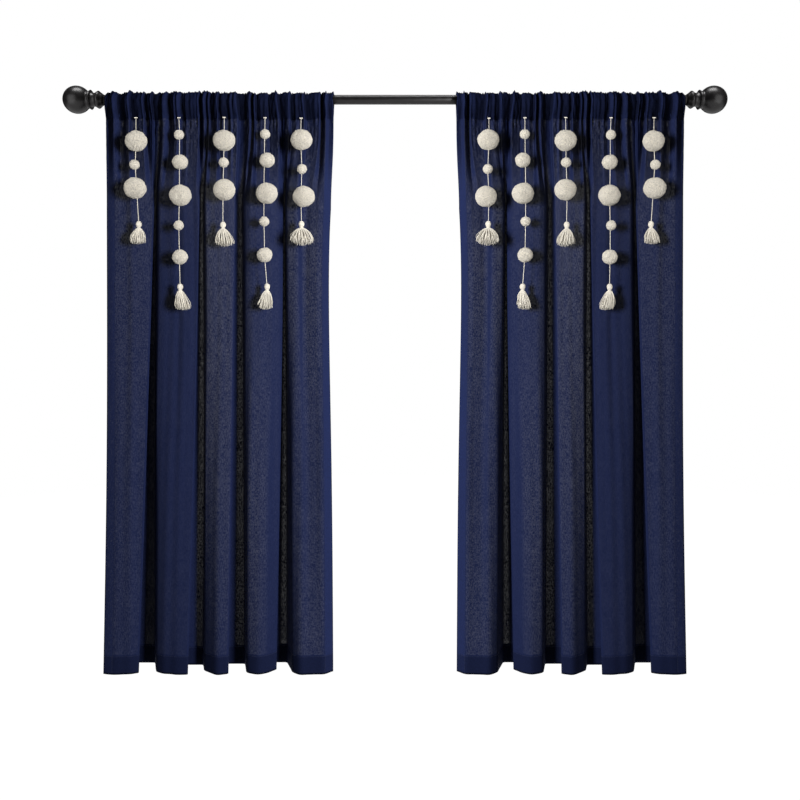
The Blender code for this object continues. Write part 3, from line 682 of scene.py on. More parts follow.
class Drape:
    """The left curtain's hanging shape, row by row from the hem up and round the rod."""

    def __init__(self, column):
        self.hem_path, self.floors = corner_path("hem", HEM_VALLEYS)
        self.hem_cloth = lengths_along(self.hem_path)
        self.width = self.hem_cloth[-1]
        self.centres = [(self.hem_cloth[i] + self.hem_cloth[i + 1]) / 2 for i in self.floors]
        self.neck_path, _ = corner_path("neck", NECK_VALLEYS)
        self.neck_cloth = self.neck_places()
        self.share = np.linspace(0.0, 1.0, round(self.width / column) + 1)
        self.cloth = self.share * self.width
        self.neck = self.rounded(self.neck_cloth, self.neck_path)
        marks = [0.0, *self.centres, self.width]
        self.bow = np.interp(self.cloth, marks, BOWS) * MM
        self.waist = np.interp(self.cloth, marks, WAISTS) * MM
        low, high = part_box("rod")
        self.clearance = (high.z - low.z) / 2 + ROD_CLEARANCE
        self.read_pleats()

    def neck_places(self):
        """Higher up the valleys are narrow, and the fronts hold the rest of the cloth in ripples."""
        room = lengths_along(self.neck_path)
        at, cloth = [0.0], [0.0]
        for index, centre in zip(self.floors, self.centres):
            middle = (room[index] + room[index + 1]) / 2
            for corner in range(index - 1, index + 3):
                at.append(room[corner])
                cloth.append(centre + room[corner] - middle)
        return np.interp(room, [*at, room[-1]], [*cloth, self.width])

    def rounded(self, places, path):
        """The folds of a level: crisp where a front ends, and round where the next one starts."""
        at, softness = [0.0], [ROUND_CORNER]
        for index in self.floors:
            front_ends = places[index - 1]
            at += [front_ends - CRISP_FROM, front_ends, places[index + 1], places[index + 2]]
            softness += [ROUND_CORNER, CRISP_CORNER, CRISP_CORNER, ROUND_CORNER]
        spread = np.interp(self.cloth, at, softness)
        return [softened(places, path[:, axis], self.cloth, spread) for axis in (0, 1)]

    def read_pleats(self):
        """Gives each column its place in the pleats, whose walls take up the spare cloth."""
        seam_x, top_x, seam_forward, top_forward = np.array(PLEATS).T
        seam_x, top_x = seam_x * MM, top_x * MM
        run = lengths_along(np.stack([seam_x, 2 * PLEAT_REACH * seam_forward], axis=1))
        valleys = [run[np.abs(seam_x - valley * MM).argmin()] for valley in SEAM_VALLEYS]
        at = np.interp(self.cloth, [0.0, *self.centres, self.width], [0.0, *valleys, run[-1]])
        tables = (seam_x, top_x, seam_forward, top_forward)
        read = [softened(run, table, at, PLEAT_SOFTNESS) for table in tables]
        self.seam_x, self.top_x = read[:2]
        self.seam_wave, self.top_wave = [PLEAT_REACH * (2 * forward - 1) for forward in read[2:]]
        fine = noise_along(self.top_x, FINE_PLEAT_WIDTH, 0.0)
        finer = noise_along(self.top_x, FINE_PLEAT_WIDTH * FINER_SHARE, 4.0)
        self.fine = FINE_PLEAT_DEPTH * (fine + FINER_DEPTH * finer)
        finest = np.abs(noise_along(self.top_x, FINE_PLEAT_WIDTH * FINEST_SHARE, 8.0))
        share = TOOTH_SHARES
        high = share.ridges * read[3] + share.fine * (TOOTH_LEVEL - np.abs(fine))
        high = high + share.finer * finer + share.finest * finest
        self.teeth = TOOTH_HEIGHT * (high - high.mean())

    def body_row(self, height):
        neck_x, neck_y = self.neck
        pleated = on_front(PLEATED_FRONT, neck_y)
        if height >= NECK_HEIGHT:
            drop = (SEAM_HEIGHT - height) / (SEAM_HEIGHT - NECK_HEIGHT)
            way = smooth_step(drop) ** OPENING_EASE
            left = (1.0 - way) + way * NECK_PLEATS * pleated
            x = self.seam_x + way * (neck_x - self.seam_x)
            y = way * neck_y - self.seam_wave * left
            y = y - (self.fine + crumpled(self.seam_x, height)) * (1.0 - drop) ** CREASING_EASE
        else:
            way = (NECK_HEIGHT - height) / (NECK_HEIGHT - HEM_HEIGHT)
            places = self.neck_cloth + way * (self.hem_cloth - self.neck_cloth)
            x, y = self.rounded(places, self.neck_path + way * (self.hem_path - self.neck_path))
            bulge = math.sin(math.pi * way)
            x = x + bulge * self.bow + way * (1.0 - way) ** 4 / WAIST_PEAK * self.waist
            y = y + bulge * waved(SWAY_FORWARD, self.share)
            y = y - (1.0 - way) * self.seam_wave * NECK_PLEATS * pleated
        fade = smooth_step((SEAM_HEIGHT - height) / TROUGH_FADE)
        turn = sum(one.size * math.sin(one.rate * height + one.start) for one in TROUGH_WANDER)
        y = y + fade * on_front(TROUGHED_FRONT, y) * waved(SOFT_TROUGHS, self.share, turn)
        return np.stack([x, y, np.full_like(x, height)], axis=1)

    def pocket_row(self, line):
        """A row round the rod: forward and back the pleats move together, and on top they stand up."""
        lift = np.clip((line.z * MM - SEAM_HEIGHT) / (POCKET_TOP - SEAM_HEIGHT), 0.0, 1.0)
        wave = self.seam_wave + lift * (self.top_wave - self.seam_wave) + self.fine
        x = self.seam_x + lift * (self.top_x - self.seam_x)
        wave = wave + crumpled(x, line.z * MM + CRUMPLE_STEP * line.turn)
        y = line.y * MM - wave * line.share
        z = line.z * MM + self.teeth * max(0.0, math.sin(math.radians(line.turn))) ** 2
        outward = np.maximum(self.clearance / np.hypot(y, z), 1.0)
        return np.stack([x, y * outward, z * outward], axis=1)

    def pocket_line(self, way):
        """The line a share of the way round the pocket, on a smooth curve through the known ones."""
        place = way * (len(POCKET_LINES) - 1)
        index = min(int(place), len(POCKET_LINES) - 2)
        part = place - index
        lines = [POCKET_LINES[min(max(index + step, 0), len(POCKET_LINES) - 1)] for step in (-1, 0, 1, 2)]
        values = []
        for before, first, last, after in zip(*lines):
            slope_in, slope_out = (last - before) / 2, (after - first) / 2
            cube, square = part**3, part**2
            values.append(
                first * (2 * cube - 3 * square + 1) + slope_in * (cube - 2 * square + part)
                + last * (3 * square - 2 * cube) + slope_out * (cube - square)
            )
        return PocketLine(*values)


# Rows of the finished cloth: to which height, and how many. The bottom hem and the pocket have
# their own
RowRun = namedtuple("RowRun", "top rows")
HEM_ROWS = 8
BODY_RUNS = (RowRun(NECK_HEIGHT, 54), RowRun(SEAM_HEIGHT, 44))
POCKET_ROWS = 30

# The packing crease across the inner folds: height, depth and half width, the rows it needs as
# shares of that, how far it keeps other rows off, and from which share of the cloth on it shows,
# fading in
CREASE_HEIGHT = -0.512
CREASE_DEPTH = 0.0011
CREASE_REACH = 0.006
CREASE_ROWS = (-1.0, -0.4, 0.0, 0.4, 1.0)
CREASE_CLEAR = 1.3
CREASE_FROM = 0.47
CREASE_FADE = 0.06


def cloth_grid(drape, hem):
    """Places of the single cloth from its hem round the rod, and the height of each row."""
    top = HEM_HEIGHT + hem
    heights = list(np.linspace(HEM_HEIGHT, top, HEM_ROWS, endpoint=False))
    for run in BODY_RUNS:
        heights += list(np.linspace(top, run.top, run.rows, endpoint=False))
        top = run.top
    near = [CREASE_HEIGHT + CREASE_REACH * step for step in CREASE_ROWS]
    heights = sorted([h for h in heights if abs(h - CREASE_HEIGHT) > CREASE_CLEAR * CREASE_REACH] + near)
    rows = [drape.body_row(height) for height in heights]
    for height, row in zip(heights, rows):
        pressed = max(0.0, 1.0 - abs(height - CREASE_HEIGHT) / CREASE_REACH)
        row[:, 1] -= CREASE_DEPTH * pressed * smooth_step((drape.share - CREASE_FROM) / CREASE_FADE)
    for step in range(POCKET_ROWS + 1):
        rows.append(drape.pocket_row(drape.pocket_line(step / POCKET_ROWS)))
    rows[-1][:, 1] += HEM_GAP
    return np.array(rows), heights


def normals_of(grid):
    """Which way the cloth faces at each place: the room side."""
    up, across = np.gradient(grid, axis=(0, 1))
    facing = np.cross(across, up)
    return facing / np.maximum(np.linalg.norm(facing, axis=2, keepdims=True), 1e-9)


def folded_back(count, folded):
    """Order of the rows or columns when a margin is folded back behind the rest at its start."""
    order = list(range(folded, 0, -1)) + list(range(count))
    behind = [1.0] * (folded - 1) + [FOLD_BEHIND] + [0.0] * count
    return np.array(order), np.array(behind)


def sheer_of(drape, heights, normals, hem_rows, side_columns):
    """How open the weave shows: most where one layer faces the room, none where it is doubled."""
    seen = smooth_step((np.abs(normals[:, :, 1]) - FACING_FROM) / FACING_RANGE)
    facing = LEAST_OPEN + (1.0 - LEAST_OPEN) * seen
    sheer = facing.copy()
    bands = []
    for row in SHEER:
        edges, values = [0.0], [row.folds[0]]
        for centre, valley, fold in zip(drape.centres, row.valleys, row.folds[1:]):
            edges += [centre + place for place in VALLEY_PLACES]
            values += [values[-1], CREVICE_SHARE, CREVICE_SHARE, valley, valley, fold]
        bands.append(np.interp(drape.cloth, edges, values))
    levels = [row.height for row in SHEER]
    for row, height in enumerate(heights):
        place = np.interp(height, levels, range(len(levels)))
        lower = min(int(place), len(levels) - 2)
        sheer[row] *= bands[lower] + (place - lower) * (bands[lower + 1] - bands[lower])
    sheer[:, :side_columns] = SIDE_HEM_SHEER * facing[:, :side_columns]
    sheer[:, -side_columns:] = SIDE_HEM_SHEER * facing[:, -side_columns:]
    sheer[len(heights):] = 0.0
    sheer[:hem_rows] = 0.0
    return sheer


# Gap between the layers of a hem, and the share of it next to the fold
HEM_GAP = 0.0009
FOLD_BEHIND = 0.6

# Painted light and shade in the cloth's colour, as factors on its dye: painted light down the doubled
# sides, growing in over this height below the seam, painted shade along the bottom hem, and painted
# shade in the pocket, from its deepest pleats, so many metres behind its crests next to the rod, to those
# crests
SIDE_HEM_PAINTED_LIGHT = 1.30
SIDE_HEM_LIGHT_FADE = 0.20
HEM_PAINTED_SHADE = 0.67
POCKET_PAINTED_SHADES = (0.30, 0.94)
POCKET_SHADE_REACH = 0.026


def painted_light_and_shade_of(single, body_rows, hem_rows, side_columns):
    """Painted light and shade at each point of the cloth, as a factor on its dye."""
    tone = np.ones(single.shape[:2])
    # Painted light down both side hems, growing in below the seam
    below = smooth_step((SEAM_HEIGHT - single[:, :side_columns, 2]) / SIDE_HEM_LIGHT_FADE)
    tone[:, :side_columns] = 1.0 + (SIDE_HEM_PAINTED_LIGHT - 1.0) * below
    tone[:, -side_columns:] = tone[:, :side_columns]
    # Painted shade along the bottom hem
    tone[:hem_rows] *= HEM_PAINTED_SHADE
    # Painted shade in the pocket, darkest in its deepest pleats behind the crests
    pocket = single[body_rows:, :, 1]
    behind = pocket - pocket.min(axis=1, keepdims=True)
    low, high = POCKET_PAINTED_SHADES
    tone[body_rows:] = high - (high - low) * smooth_step(behind / POCKET_SHADE_REACH)
    return tone


def make_panel(label, side, cloth):
    """One curtain of thin cloth, folded back behind itself at the hem and down both sides."""
    drape = Drape(cloth.column)
    single, heights = cloth_grid(drape, cloth.hem)
    normals = normals_of(single)
    side_columns = round(cloth.side_hem / cloth.column)
    sheer = sheer_of(drape, heights, normals, HEM_ROWS, side_columns)
    row_order, rows_behind = folded_back(single.shape[0], HEM_ROWS)
    left_order, left_behind = folded_back(single.shape[1], side_columns)
    last = single.shape[1] - 1
    column_order = np.concatenate([left_order, last - np.arange(1, side_columns + 1)])
    right_behind = np.array([FOLD_BEHIND] + [1.0] * (side_columns - 1))
    columns_behind = np.concatenate([left_behind, right_behind])
    behind = (rows_behind[:, None] + columns_behind[None, :]) * HEM_GAP
    picked = np.ix_(row_order, column_order)
    grid = single[picked] - normals[picked] * behind[:, :, None]
    grid[:, :, 0] *= side
    mesh = woven_mesh(f"voile_{label}", grid, side)
    across = drape.cloth[column_order]
    across[:side_columns] *= -1
    across[-side_columns:] = 2 * drape.width - across[-side_columns:]
    down = lengths_along(single[:, single.shape[1] // 2])[row_order]
    down[:HEM_ROWS] *= -1
    set_cloth_places(mesh, across, down)
    set_attribute(mesh, "sheer", sheer[picked])
    # Painted light and shade, kept on the cloth as factors on its dye
    tone = painted_light_and_shade_of(single, len(heights), HEM_ROWS, side_columns)
    set_attribute(mesh, "tone", tone[picked])
    material = finish_named("navy_slub_voile", voile_finish, cloth)
    panel = finished_piece(f"voile_{label}", mesh, material, [f"panel_{label}"])
    return panel, drape, single, normals, len(heights)


def woven_mesh(name, grid, side):
    """A smooth mesh over a grid of places, facing the room."""
    rows, columns = grid.shape[:2]
    work = bmesh.new()
    bmesh.ops.create_grid(work, x_segments=columns - 1, y_segments=rows - 1, size=0.5)
    for vertex in work.verts:
        column = round((vertex.co.x + 0.5) * (columns - 1))
        row = round((vertex.co.y + 0.5) * (rows - 1))
        vertex.index = row * columns + column
        vertex.co = grid[row, column]
    work.verts.sort()
    if side > 0:
        bmesh.ops.reverse_faces(work, faces=work.faces)
    return smooth_mesh(name, work)


def set_cloth_places(mesh, across, down):
    """UV map in metres along the cloth, so that the weave follows the folds."""
    places = np.stack(np.meshgrid(across, down), axis=2).reshape(-1, 2)
    corners = np.empty(len(mesh.loops), np.int32)
    mesh.loops.foreach_get("vertex_index", corners)
    layer = mesh.uv_layers.new(name="cloth")
    layer.data.foreach_set("uv", places[corners].astype(np.float32).ravel())


def strewn(name, template, places, axes):
    """A mesh with a copy of a small template at each place, turned and sized by its three axes."""
    corners = np.array([vertex.co for vertex in template.verts])
    faces = [[vertex.index for vertex in face.verts] for face in template.faces]
    template.free()
    points = places[:, None, :] + np.einsum("vi,nij->nvj", corners, axes)
    runs = np.arange(len(places)) * len(corners)
    joined = [[corner + start for corner in face] for start in runs.tolist() for face in faces]
    mesh = bpy.data.meshes.new(name)
    mesh.from_pydata(points.reshape(-1, 3), [], joined)
    return mesh


def stitch_template():
    """One stitch along X: a short round thread, thinner at both ends."""
    work = bmesh.new()
    bmesh.ops.create_cone(work, cap_ends=True, segments=5, radius1=0.5, radius2=0.5, depth=1.0)
    bmesh.ops.rotate(work, verts=work.verts, matrix=Matrix.Rotation(math.pi / 2, 3, "Y"))
    bmesh.ops.recalc_face_normals(work, faces=work.faces)
    return work


def seam_line(single, normals, rows, columns):
    """Places and facing along a line on the cloth, given as fractional rows and columns."""
    places = []
    for grid in (single, normals):
        row, column = np.floor(rows).astype(int), np.floor(columns).astype(int)
        row, column = np.minimum(row, grid.shape[0] - 2), np.minimum(column, grid.shape[1] - 2)
        up, over = (rows - row)[:, None], (columns - column)[:, None]
        lower = grid[row, column] * (1 - over) + grid[row, column + 1] * over
        upper = grid[row + 1, column] * (1 - over) + grid[row + 1, column + 1] * over
        places.append(lower * (1 - up) + upper * up)
    return places


# Stitches: how many rows or columns they lie inside the edge they hold, how far off the cloth, the
# thread's share of a stitch's length, and its width and height
STITCH_INSET = 0.6
STITCH_LIFT = 0.0002
STITCH_SHARE = 0.66
STITCH_WIDTH = 0.0006
STITCH_HEIGHT = 0.0005


def stitched(side, label, cloth, drape, single, normals, body_rows):
    """Running stitches along the pocket seam, the hem and both side hems."""
    last_column = single.shape[1] - 1
    side_columns = round(cloth.side_hem / cloth.column) - STITCH_INSET
    across = np.linspace(1, last_column - 1, round(drape.width / cloth.stitch))
    height = SEAM_HEIGHT - HEM_HEIGHT
    down = np.linspace(1, body_rows - 1, round(height / cloth.stitch))
    lines = [
        (np.full_like(across, body_rows - STITCH_INSET), across),
        (np.full_like(across, HEM_ROWS - STITCH_INSET), across),
        (down, np.full_like(down, side_columns)),
        (down, np.full_like(down, last_column - side_columns)),
    ]
    places, axes = [], []
    for rows, columns in lines:
        spots, facing = seam_line(single, normals, rows, columns)
        along = unit(np.gradient(spots, axis=0))
        over = np.cross(facing, along)
        places.append(spots + facing * STITCH_LIFT)
        thread = [along * cloth.stitch * STITCH_SHARE, over * STITCH_WIDTH, facing * STITCH_HEIGHT]
        axes.append(np.stack(thread, axis=1))
    places, axes = np.concatenate(places), np.concatenate(axes)
    mesh = strewn(f"stitches_{label}", stitch_template(), places, axes)
    if side < 0:
        mesh.transform(Matrix.Scale(-1.0, 4, (1.0, 0.0, 0.0)))
        mesh.flip_normals()
    material = finish_named("navy_sewing_thread", thread_finish, cloth)
    return finished_piece(f"stitches_{label}", mesh, material)


class CURTAIN_OT_panels(bpy.types.Operator):
    """Builds both curtains of voile with their hems, rod pockets and stitching"""

    bl_idname = "curtain.panels"
    bl_label = "Panels"

    def execute(self, context):
        cloth = settings().cloth
        for label, side in SIDES.items():
            panel, drape, single, normals, body_rows = make_panel(label, side, cloth)
            stitches = stitched(side, label, cloth, drape, single, normals, body_rows)
        return {"FINISHED"}


def spun_mesh(name, outline, steps):
    """Turns an outline of radius and height about the Z axis."""
    work = bmesh.new()
    corners = [work.verts.new((radius, 0.0, height)) for radius, height in outline]
    edges = [work.edges.new(pair) for pair in zip(corners, corners[1:])]
    bmesh.ops.spin(
        work, geom=corners + edges, cent=(0, 0, 0), axis=(0, 0, 1), angle=FULL_TURN, steps=steps,
        use_merge=True,
    )
    bmesh.ops.remove_doubles(work, verts=work.verts, dist=SPUN_MERGE)
    bmesh.ops.recalc_face_normals(work, faces=work.faces)
    return smooth_mesh(name, work)


# Rings of a finial's ball, and the bevel at the rod's ends
BALL_STEPS = 28
ROD_END_BEVEL = 0.0006


class CURTAIN_OT_rod(bpy.types.Operator):
    """Builds the round rod and its two turned finials"""

    bl_idname = "curtain.rod"
    bl_label = "Rod and finials"

    def execute(self, context):
        rod = settings().rod
        paint = finish_named("oil_rubbed_bronze_paint", bronze_finish, rod)
        low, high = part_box("rod")
        radius, half = (high.z - low.z) / 2, (high.x - low.x) / 2
        outline = [(0.0, -half), (radius - ROD_END_BEVEL, -half), (radius, -half + ROD_END_BEVEL)]
        outline += [(radius, half - ROD_END_BEVEL), (radius - ROD_END_BEVEL, half), (0.0, half)]
        mesh = spun_mesh("painted_rod", outline, rod.facets)
        mesh.transform(Matrix.Rotation(math.pi / 2, 4, "Y"))
        finished_piece("painted_rod", mesh, paint, ["rod"])
        for label, side in SIDES.items():
            make_finial(label, side, rod, paint)
        return {"FINISHED"}


def make_finial(label, side, rod, paint):
    """A turned ball whose neck has two rings, with grooves between them."""
    low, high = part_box(f"finial_{label}")
    ball = (high.z - low.z) / 2
    centre = (low.x + ball) if side > 0 else (high.x - ball)
    joint = math.pi - math.asin(FINIAL_NECK[0].radius * MM / ball)
    outline = [(ball * math.sin(a), ball * math.cos(a)) for a in np.linspace(0.0, joint, BALL_STEPS)]
    outline += [(ring.radius * MM, -ring.from_centre * MM) for ring in FINIAL_NECK]
    outline.append((0.0, -FINIAL_NECK[-1].from_centre * MM))
    outline[0] = (0.0, ball)
    mesh = spun_mesh(f"turned_finial_{label}", outline, rod.facets)
    mesh.transform(Matrix.Translation((centre, 0.0, 0.0)) @ Matrix.Rotation(-side * math.pi / 2, 4, "Y"))
    finished_piece(f"turned_finial_{label}", mesh, paint, [f"finial_{label}"])


# Cut yarn ends of a pompom: how deep they reach below the surface, their radius and its spread,
# how uneven the trimming is, how far they are strewn and lean, and how fast painted shade darkens them
# inwards
TUFT_DEPTH = 0.0042
TUFT_RADIUS = 0.00125
TUFT_SPREAD = (0.8, 1.2)
TRIM_SPREAD = 0.0007
TUFT_SCATTER = 0.012
TUFT_LEAN = 0.22
TUFT_SHADE = 1.15

# From which share of its length upwards a lean counts as steep, so that its sides are measured
# from X and not from Z
STEEP = 0.8

# The body under them: its share of the pompom, and how dark the painted shade on it is
BODY_SHARE = 0.955
BODY_SHADE = 0.8

# The tufts stand out as far on a small pompom as on a large one, so its body is trimmed more
SMALLEST_FIT = 0.81
FIT_GROWTH = 4.2

# Lumps of a hand trimmed ball: depth as a share of its radius, how many, and how far the pattern
# moves on from one pompom to the next
POMPOM_LUMPS = 0.052
LUMP_RATE = 1.9
LUMP_STEPS = (3.1, 1.7, 0.9)
POMPOM_SAG = 0.0015

# Turn that spreads points evenly round a ball or a disc
GOLDEN_TURN = math.pi * (3 - math.sqrt(5))


def even_directions(count):
    """Directions spread evenly over a ball."""
    index = np.arange(count) + 0.5
    rise = 1 - 2 * index / count
    across = np.sqrt(1 - rise * rise)
    turn = GOLDEN_TURN * index
    return np.stack([across * np.cos(turn), across * np.sin(turn), rise], axis=1)


def lumps_at(directions, seed):
    """Unevenness of a hand trimmed ball, as a share of its radius."""
    offset = Vector([seed * step for step in LUMP_STEPS])
    return np.array([noise.noise(Vector(d) * LUMP_RATE + offset) for d in directions]) * POMPOM_LUMPS


def tuft_template():
    """One cut yarn end along Z: it opens a little and ends bluntly."""
    work = bmesh.new()
    bmesh.ops.create_cone(work, cap_ends=False, segments=4, radius1=0.75, radius2=1.0, depth=1.0)
    bmesh.ops.translate(work, verts=work.verts, vec=(0.0, 0.0, 0.5))
    rim = [edge for edge in work.edges if all(vertex.co.z > 0.5 for vertex in edge.verts)]
    bmesh.ops.holes_fill(work, edges=rim)
    bmesh.ops.recalc_face_normals(work, faces=work.faces)
    if sum(face.normal.dot(face.calc_center_median()) for face in work.faces) < 0:
        bmesh.ops.reverse_faces(work, faces=work.faces)
    return work


def fit_of(half):
    """Share of its CAD ball at which a pompom's yarn ends stop. Their width reaches out past it."""
    return SMALLEST_FIT + FIT_GROWTH * max(half)


def make_pompom(node, number, yarn, wool):
    """A tied ball of cut yarn: a round body, and the yarn ends that stand out of it."""
    low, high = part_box(node)
    centre = np.array((low + high) / 2) - np.array([0.0, 0.0, POMPOM_SAG])
    half = np.array((high - low) / 2)
    name = node.replace("pompom", "cut_pile")
    area = 2 * FULL_TURN * half[0] * half[2]
    directions = even_directions(round(area / yarn.end_area))
    chance = np.random.default_rng(number)
    directions = unit(directions + chance.normal(0.0, TUFT_SCATTER, directions.shape))
    surface = half * fit_of(half) * (1 + lumps_at(directions, number))[:, None]
    tips = directions * (surface + chance.uniform(-TRIM_SPREAD, TRIM_SPREAD, len(directions))[:, None])
    lean = unit(directions + chance.normal(0.0, TUFT_LEAN, directions.shape))
    off_lean = np.where(np.abs(lean[:, 2:]) < STEEP, [[0.0, 0.0, 1.0]], [[1.0, 0.0, 0.0]])
    over = unit(np.cross(off_lean, lean))
    turn = chance.uniform(0.0, FULL_TURN, len(lean))[:, None]
    beside = np.cross(lean, over)
    first = over * np.cos(turn) + beside * np.sin(turn)
    second = np.cross(lean, first)
    thick = TUFT_RADIUS * chance.uniform(*TUFT_SPREAD, len(lean))[:, None]
    axes = np.stack([first * thick, second * thick, lean * TUFT_DEPTH], axis=1)
    template = tuft_template()
    heights = np.array([vertex.co.z for vertex in template.verts])
    mesh = strewn(name, template, centre + tips - lean * TUFT_DEPTH, axes)
    # Painted shade: darkest at the foot of each yarn end, none at its tip, and much of it on the body
    # beneath
    depth = np.tile(smooth_step(1.0 - heights * TUFT_SHADE), len(lean))
    body = mesh_of(name + "_body", pompom_body(centre, half, number))
    depth = np.concatenate([depth, np.full(len(body.vertices), BODY_SHADE)])
    work = bmesh.new()
    for part in (mesh, body):
        work.from_mesh(part)
        bpy.data.meshes.remove(part)
    mesh = smooth_mesh(name, work)
    set_attribute(mesh, "depth", depth)
    finished_piece(name, mesh, wool, [node])


def pompom_body(centre, half, number):
    work = bmesh.new()
    bmesh.ops.create_icosphere(work, subdivisions=2, radius=1.0)
    directions = np.array([vertex.co for vertex in work.verts])
    swell = lumps_at(directions, number)
    for vertex, direction, lump in zip(work.verts, directions, swell):
        vertex.co = centre + direction * half * BODY_SHARE * fit_of(half) * (1 + lump)
    return work


class CURTAIN_OT_pompoms(bpy.types.Operator):
    """Builds every pompom of cut wool in the place of its plain ball"""

    bl_idname = "curtain.pompoms"
    bl_label = "Pompoms"

    def execute(self, context):
        yarn = settings().yarn
        wool = finish_named("cut_wool_pile", wool_finish, yarn, CUT_BRIGHTNESS)
        nodes = sorted(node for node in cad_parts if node.startswith("pompom"))
        for number, node in enumerate(nodes):
            make_pompom(node, number, yarn, wool)
        return {"FINISHED"}


def swept(work, path, rings):
    """Runs a closed ring along a path. Rings hold each corner's place sideways and forwards."""
    steps, sides = rings.shape[:2]
    along = unit(np.gradient(path, axis=0))
    over = unit(np.cross(along, [0.0, 1.0, 0.0]))
    forward = np.cross(over, along)
    made = bmesh.ops.create_grid(work, x_segments=sides, y_segments=steps - 1, size=0.5)["verts"]
    for vertex in made:
        side = round((vertex.co.x + 0.5) * sides) % sides
        step = round((vertex.co.y + 0.5) * (steps - 1))
        aside, ahead = rings[step, side]
        vertex.co = path[step] + over[step] * aside + forward[step] * ahead


def round_rings(radii, angle):
    """A ring for each row of radii, given the angle of each corner."""
    return np.stack([radii * np.cos(angle), radii * np.sin(angle)], axis=2)


# How deep the grooves between the plies of a yarn are, as a share of its radius
PLY_GROOVE = 0.20


def plied_rings(path, radius, sides, plies, pitch):
    """Rings of a twisted yarn: as many round lobes as it has plies, turning along its length."""
    run = lengths_along(path)[:, None]
    angle = FULL_TURN * np.arange(sides)[None, :] / sides
    twist = np.abs(np.cos(plies / 2 * (angle - FULL_TURN * run / pitch)))
    lobe = radius * (1.0 - PLY_GROOVE + PLY_GROOVE * twist)
    ends = np.ones_like(run)
    ends[0] = ends[-1] = 0.0
    return round_rings(lobe * ends, angle)


def closed_mesh(name, work):
    """A mesh of swept yarn whose ends and sides are merged, with its faces turned outwards."""
    bmesh.ops.remove_doubles(work, verts=work.verts, dist=SWEPT_MERGE)
    bmesh.ops.dissolve_degenerate(work, edges=work.edges, dist=SWEPT_MERGE / 2)
    bmesh.ops.recalc_face_normals(work, faces=work.faces)
    if work.calc_volume(signed=True) < 0:
        bmesh.ops.reverse_faces(work, faces=work.faces)
    return smooth_mesh(name, work)


def middle_of(node, low_z, high_z):
    """Middle of the part of a node between two heights."""
    points = np.array([vertex.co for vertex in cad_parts[node].data.vertices])
    points = points[(points[:, 2] >= low_z) & (points[:, 2] <= high_z)]
    return (points.min(axis=0) + points.max(axis=0)) / 2


# Bar tack: how far it lies below the top of its string, its width and height, its threads, how far
# each stands out and turns in, the sine of that turn, and the thread's thickness beside its pitch,
# sides, plies and the length of their turn
TACK_DROP = 0.004
TACK_WIDTH = 0.0088
TACK_HEIGHT = 0.0026
TACK_THREADS = 8
TACK_STEPS = 9
TACK_LIFT = 0.0011
TACK_TURN = 1.25
TACK_SINE = 0.95
TACK_THICKNESS = 0.62
TACK_SIDES = 6
TACK_PLIES = 2
TACK_PITCH = 0.004

# Yarn: its plies and the length of a turn, the length of a step, its sides, and how it wobbles
PLIES = 3
PLY_PITCH = 0.011
YARN_STEP = 0.0012
YARN_SIDES = 9
YARN_SEED = 900
YARN_WOBBLE = 0.00003

# Below and above the middle of a tassel's head, where the CAD head is measured
HEAD_SPAN = (-0.006, 0.002)


def yarn_route(side, label, number, string):
    """Corners of the yarn: its tack, through each pompom, and into the tassel's head."""
    node = f"string_{label}_{number}"
    _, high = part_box(node)
    tack = middle_of(node, high.z - TACK_HEIGHT, high.z) - Vector((0.0, 0.0, TACK_DROP))
    head_z = string.head_z * MM
    head = middle_of(node, head_z + HEAD_SPAN[0], head_z + HEAD_SPAN[1])
    head[0], head[2] = side * string.tassel_x * MM, head_z
    route = [tack]
    for order, yarn_x in enumerate(string.yarn_x, 1):
        low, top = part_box(f"pompom_{label}_{number}_{order}")
        centre = (low + top) / 2
        route.append(np.array([side * yarn_x * MM, centre.y, centre.z]))
    route.append(head)
    return np.array(route), tack, head


def make_yarn(side, label, number, string, yarn, wool):
    route, tack, head = yarn_route(side, label, number, string)
    run = lengths_along(route)
    places = np.arange(0.0, run[-1], YARN_STEP)
    path = np.stack([np.interp(places, run, route[:, axis]) for axis in range(3)], axis=1)
    chance = np.random.default_rng(YARN_SEED + number)
    wobble = np.cumsum(chance.normal(0.0, 1.0, (len(path), 2)), axis=0)
    wobble -= np.linspace(0, 1, len(path))[:, None] * wobble[-1]
    path[:, :2] += wobble * YARN_WOBBLE
    work = bmesh.new()
    swept(work, path, plied_rings(path, yarn.yarn_radius, YARN_SIDES, PLIES, PLY_PITCH))
    mesh = closed_mesh(f"yarn_{label}_{number}", work)
    set_attribute(mesh, "depth", np.zeros(len(mesh.vertices)))
    finished_piece(f"wool_yarn_{label}_{number}", mesh, wool)
    return tack, head


def make_tack(label, number, tack, thread):
    """The bar tack: threads sewn over and over across the yarn's end."""
    work = bmesh.new()
    pitch = TACK_WIDTH / TACK_THREADS
    angles = np.linspace(-TACK_TURN, TACK_TURN, TACK_STEPS)
    out, rise = -TACK_LIFT * np.cos(angles), TACK_HEIGHT / 2 * np.sin(angles) / TACK_SINE
    for order in range(TACK_THREADS):
        x = (order - (TACK_THREADS - 1) / 2) * pitch
        path = np.stack([np.full(TACK_STEPS, x), out, rise], axis=1)
        rings = plied_rings(path, pitch * TACK_THICKNESS, TACK_SIDES, TACK_PLIES, TACK_PITCH)
        swept(work, path + tack, rings)
    mesh = closed_mesh(f"tack_{label}_{number}", work)
    set_attribute(mesh, "depth", np.zeros(len(mesh.vertices)))
    finished_piece(f"bar_tack_{label}_{number}", mesh, thread)


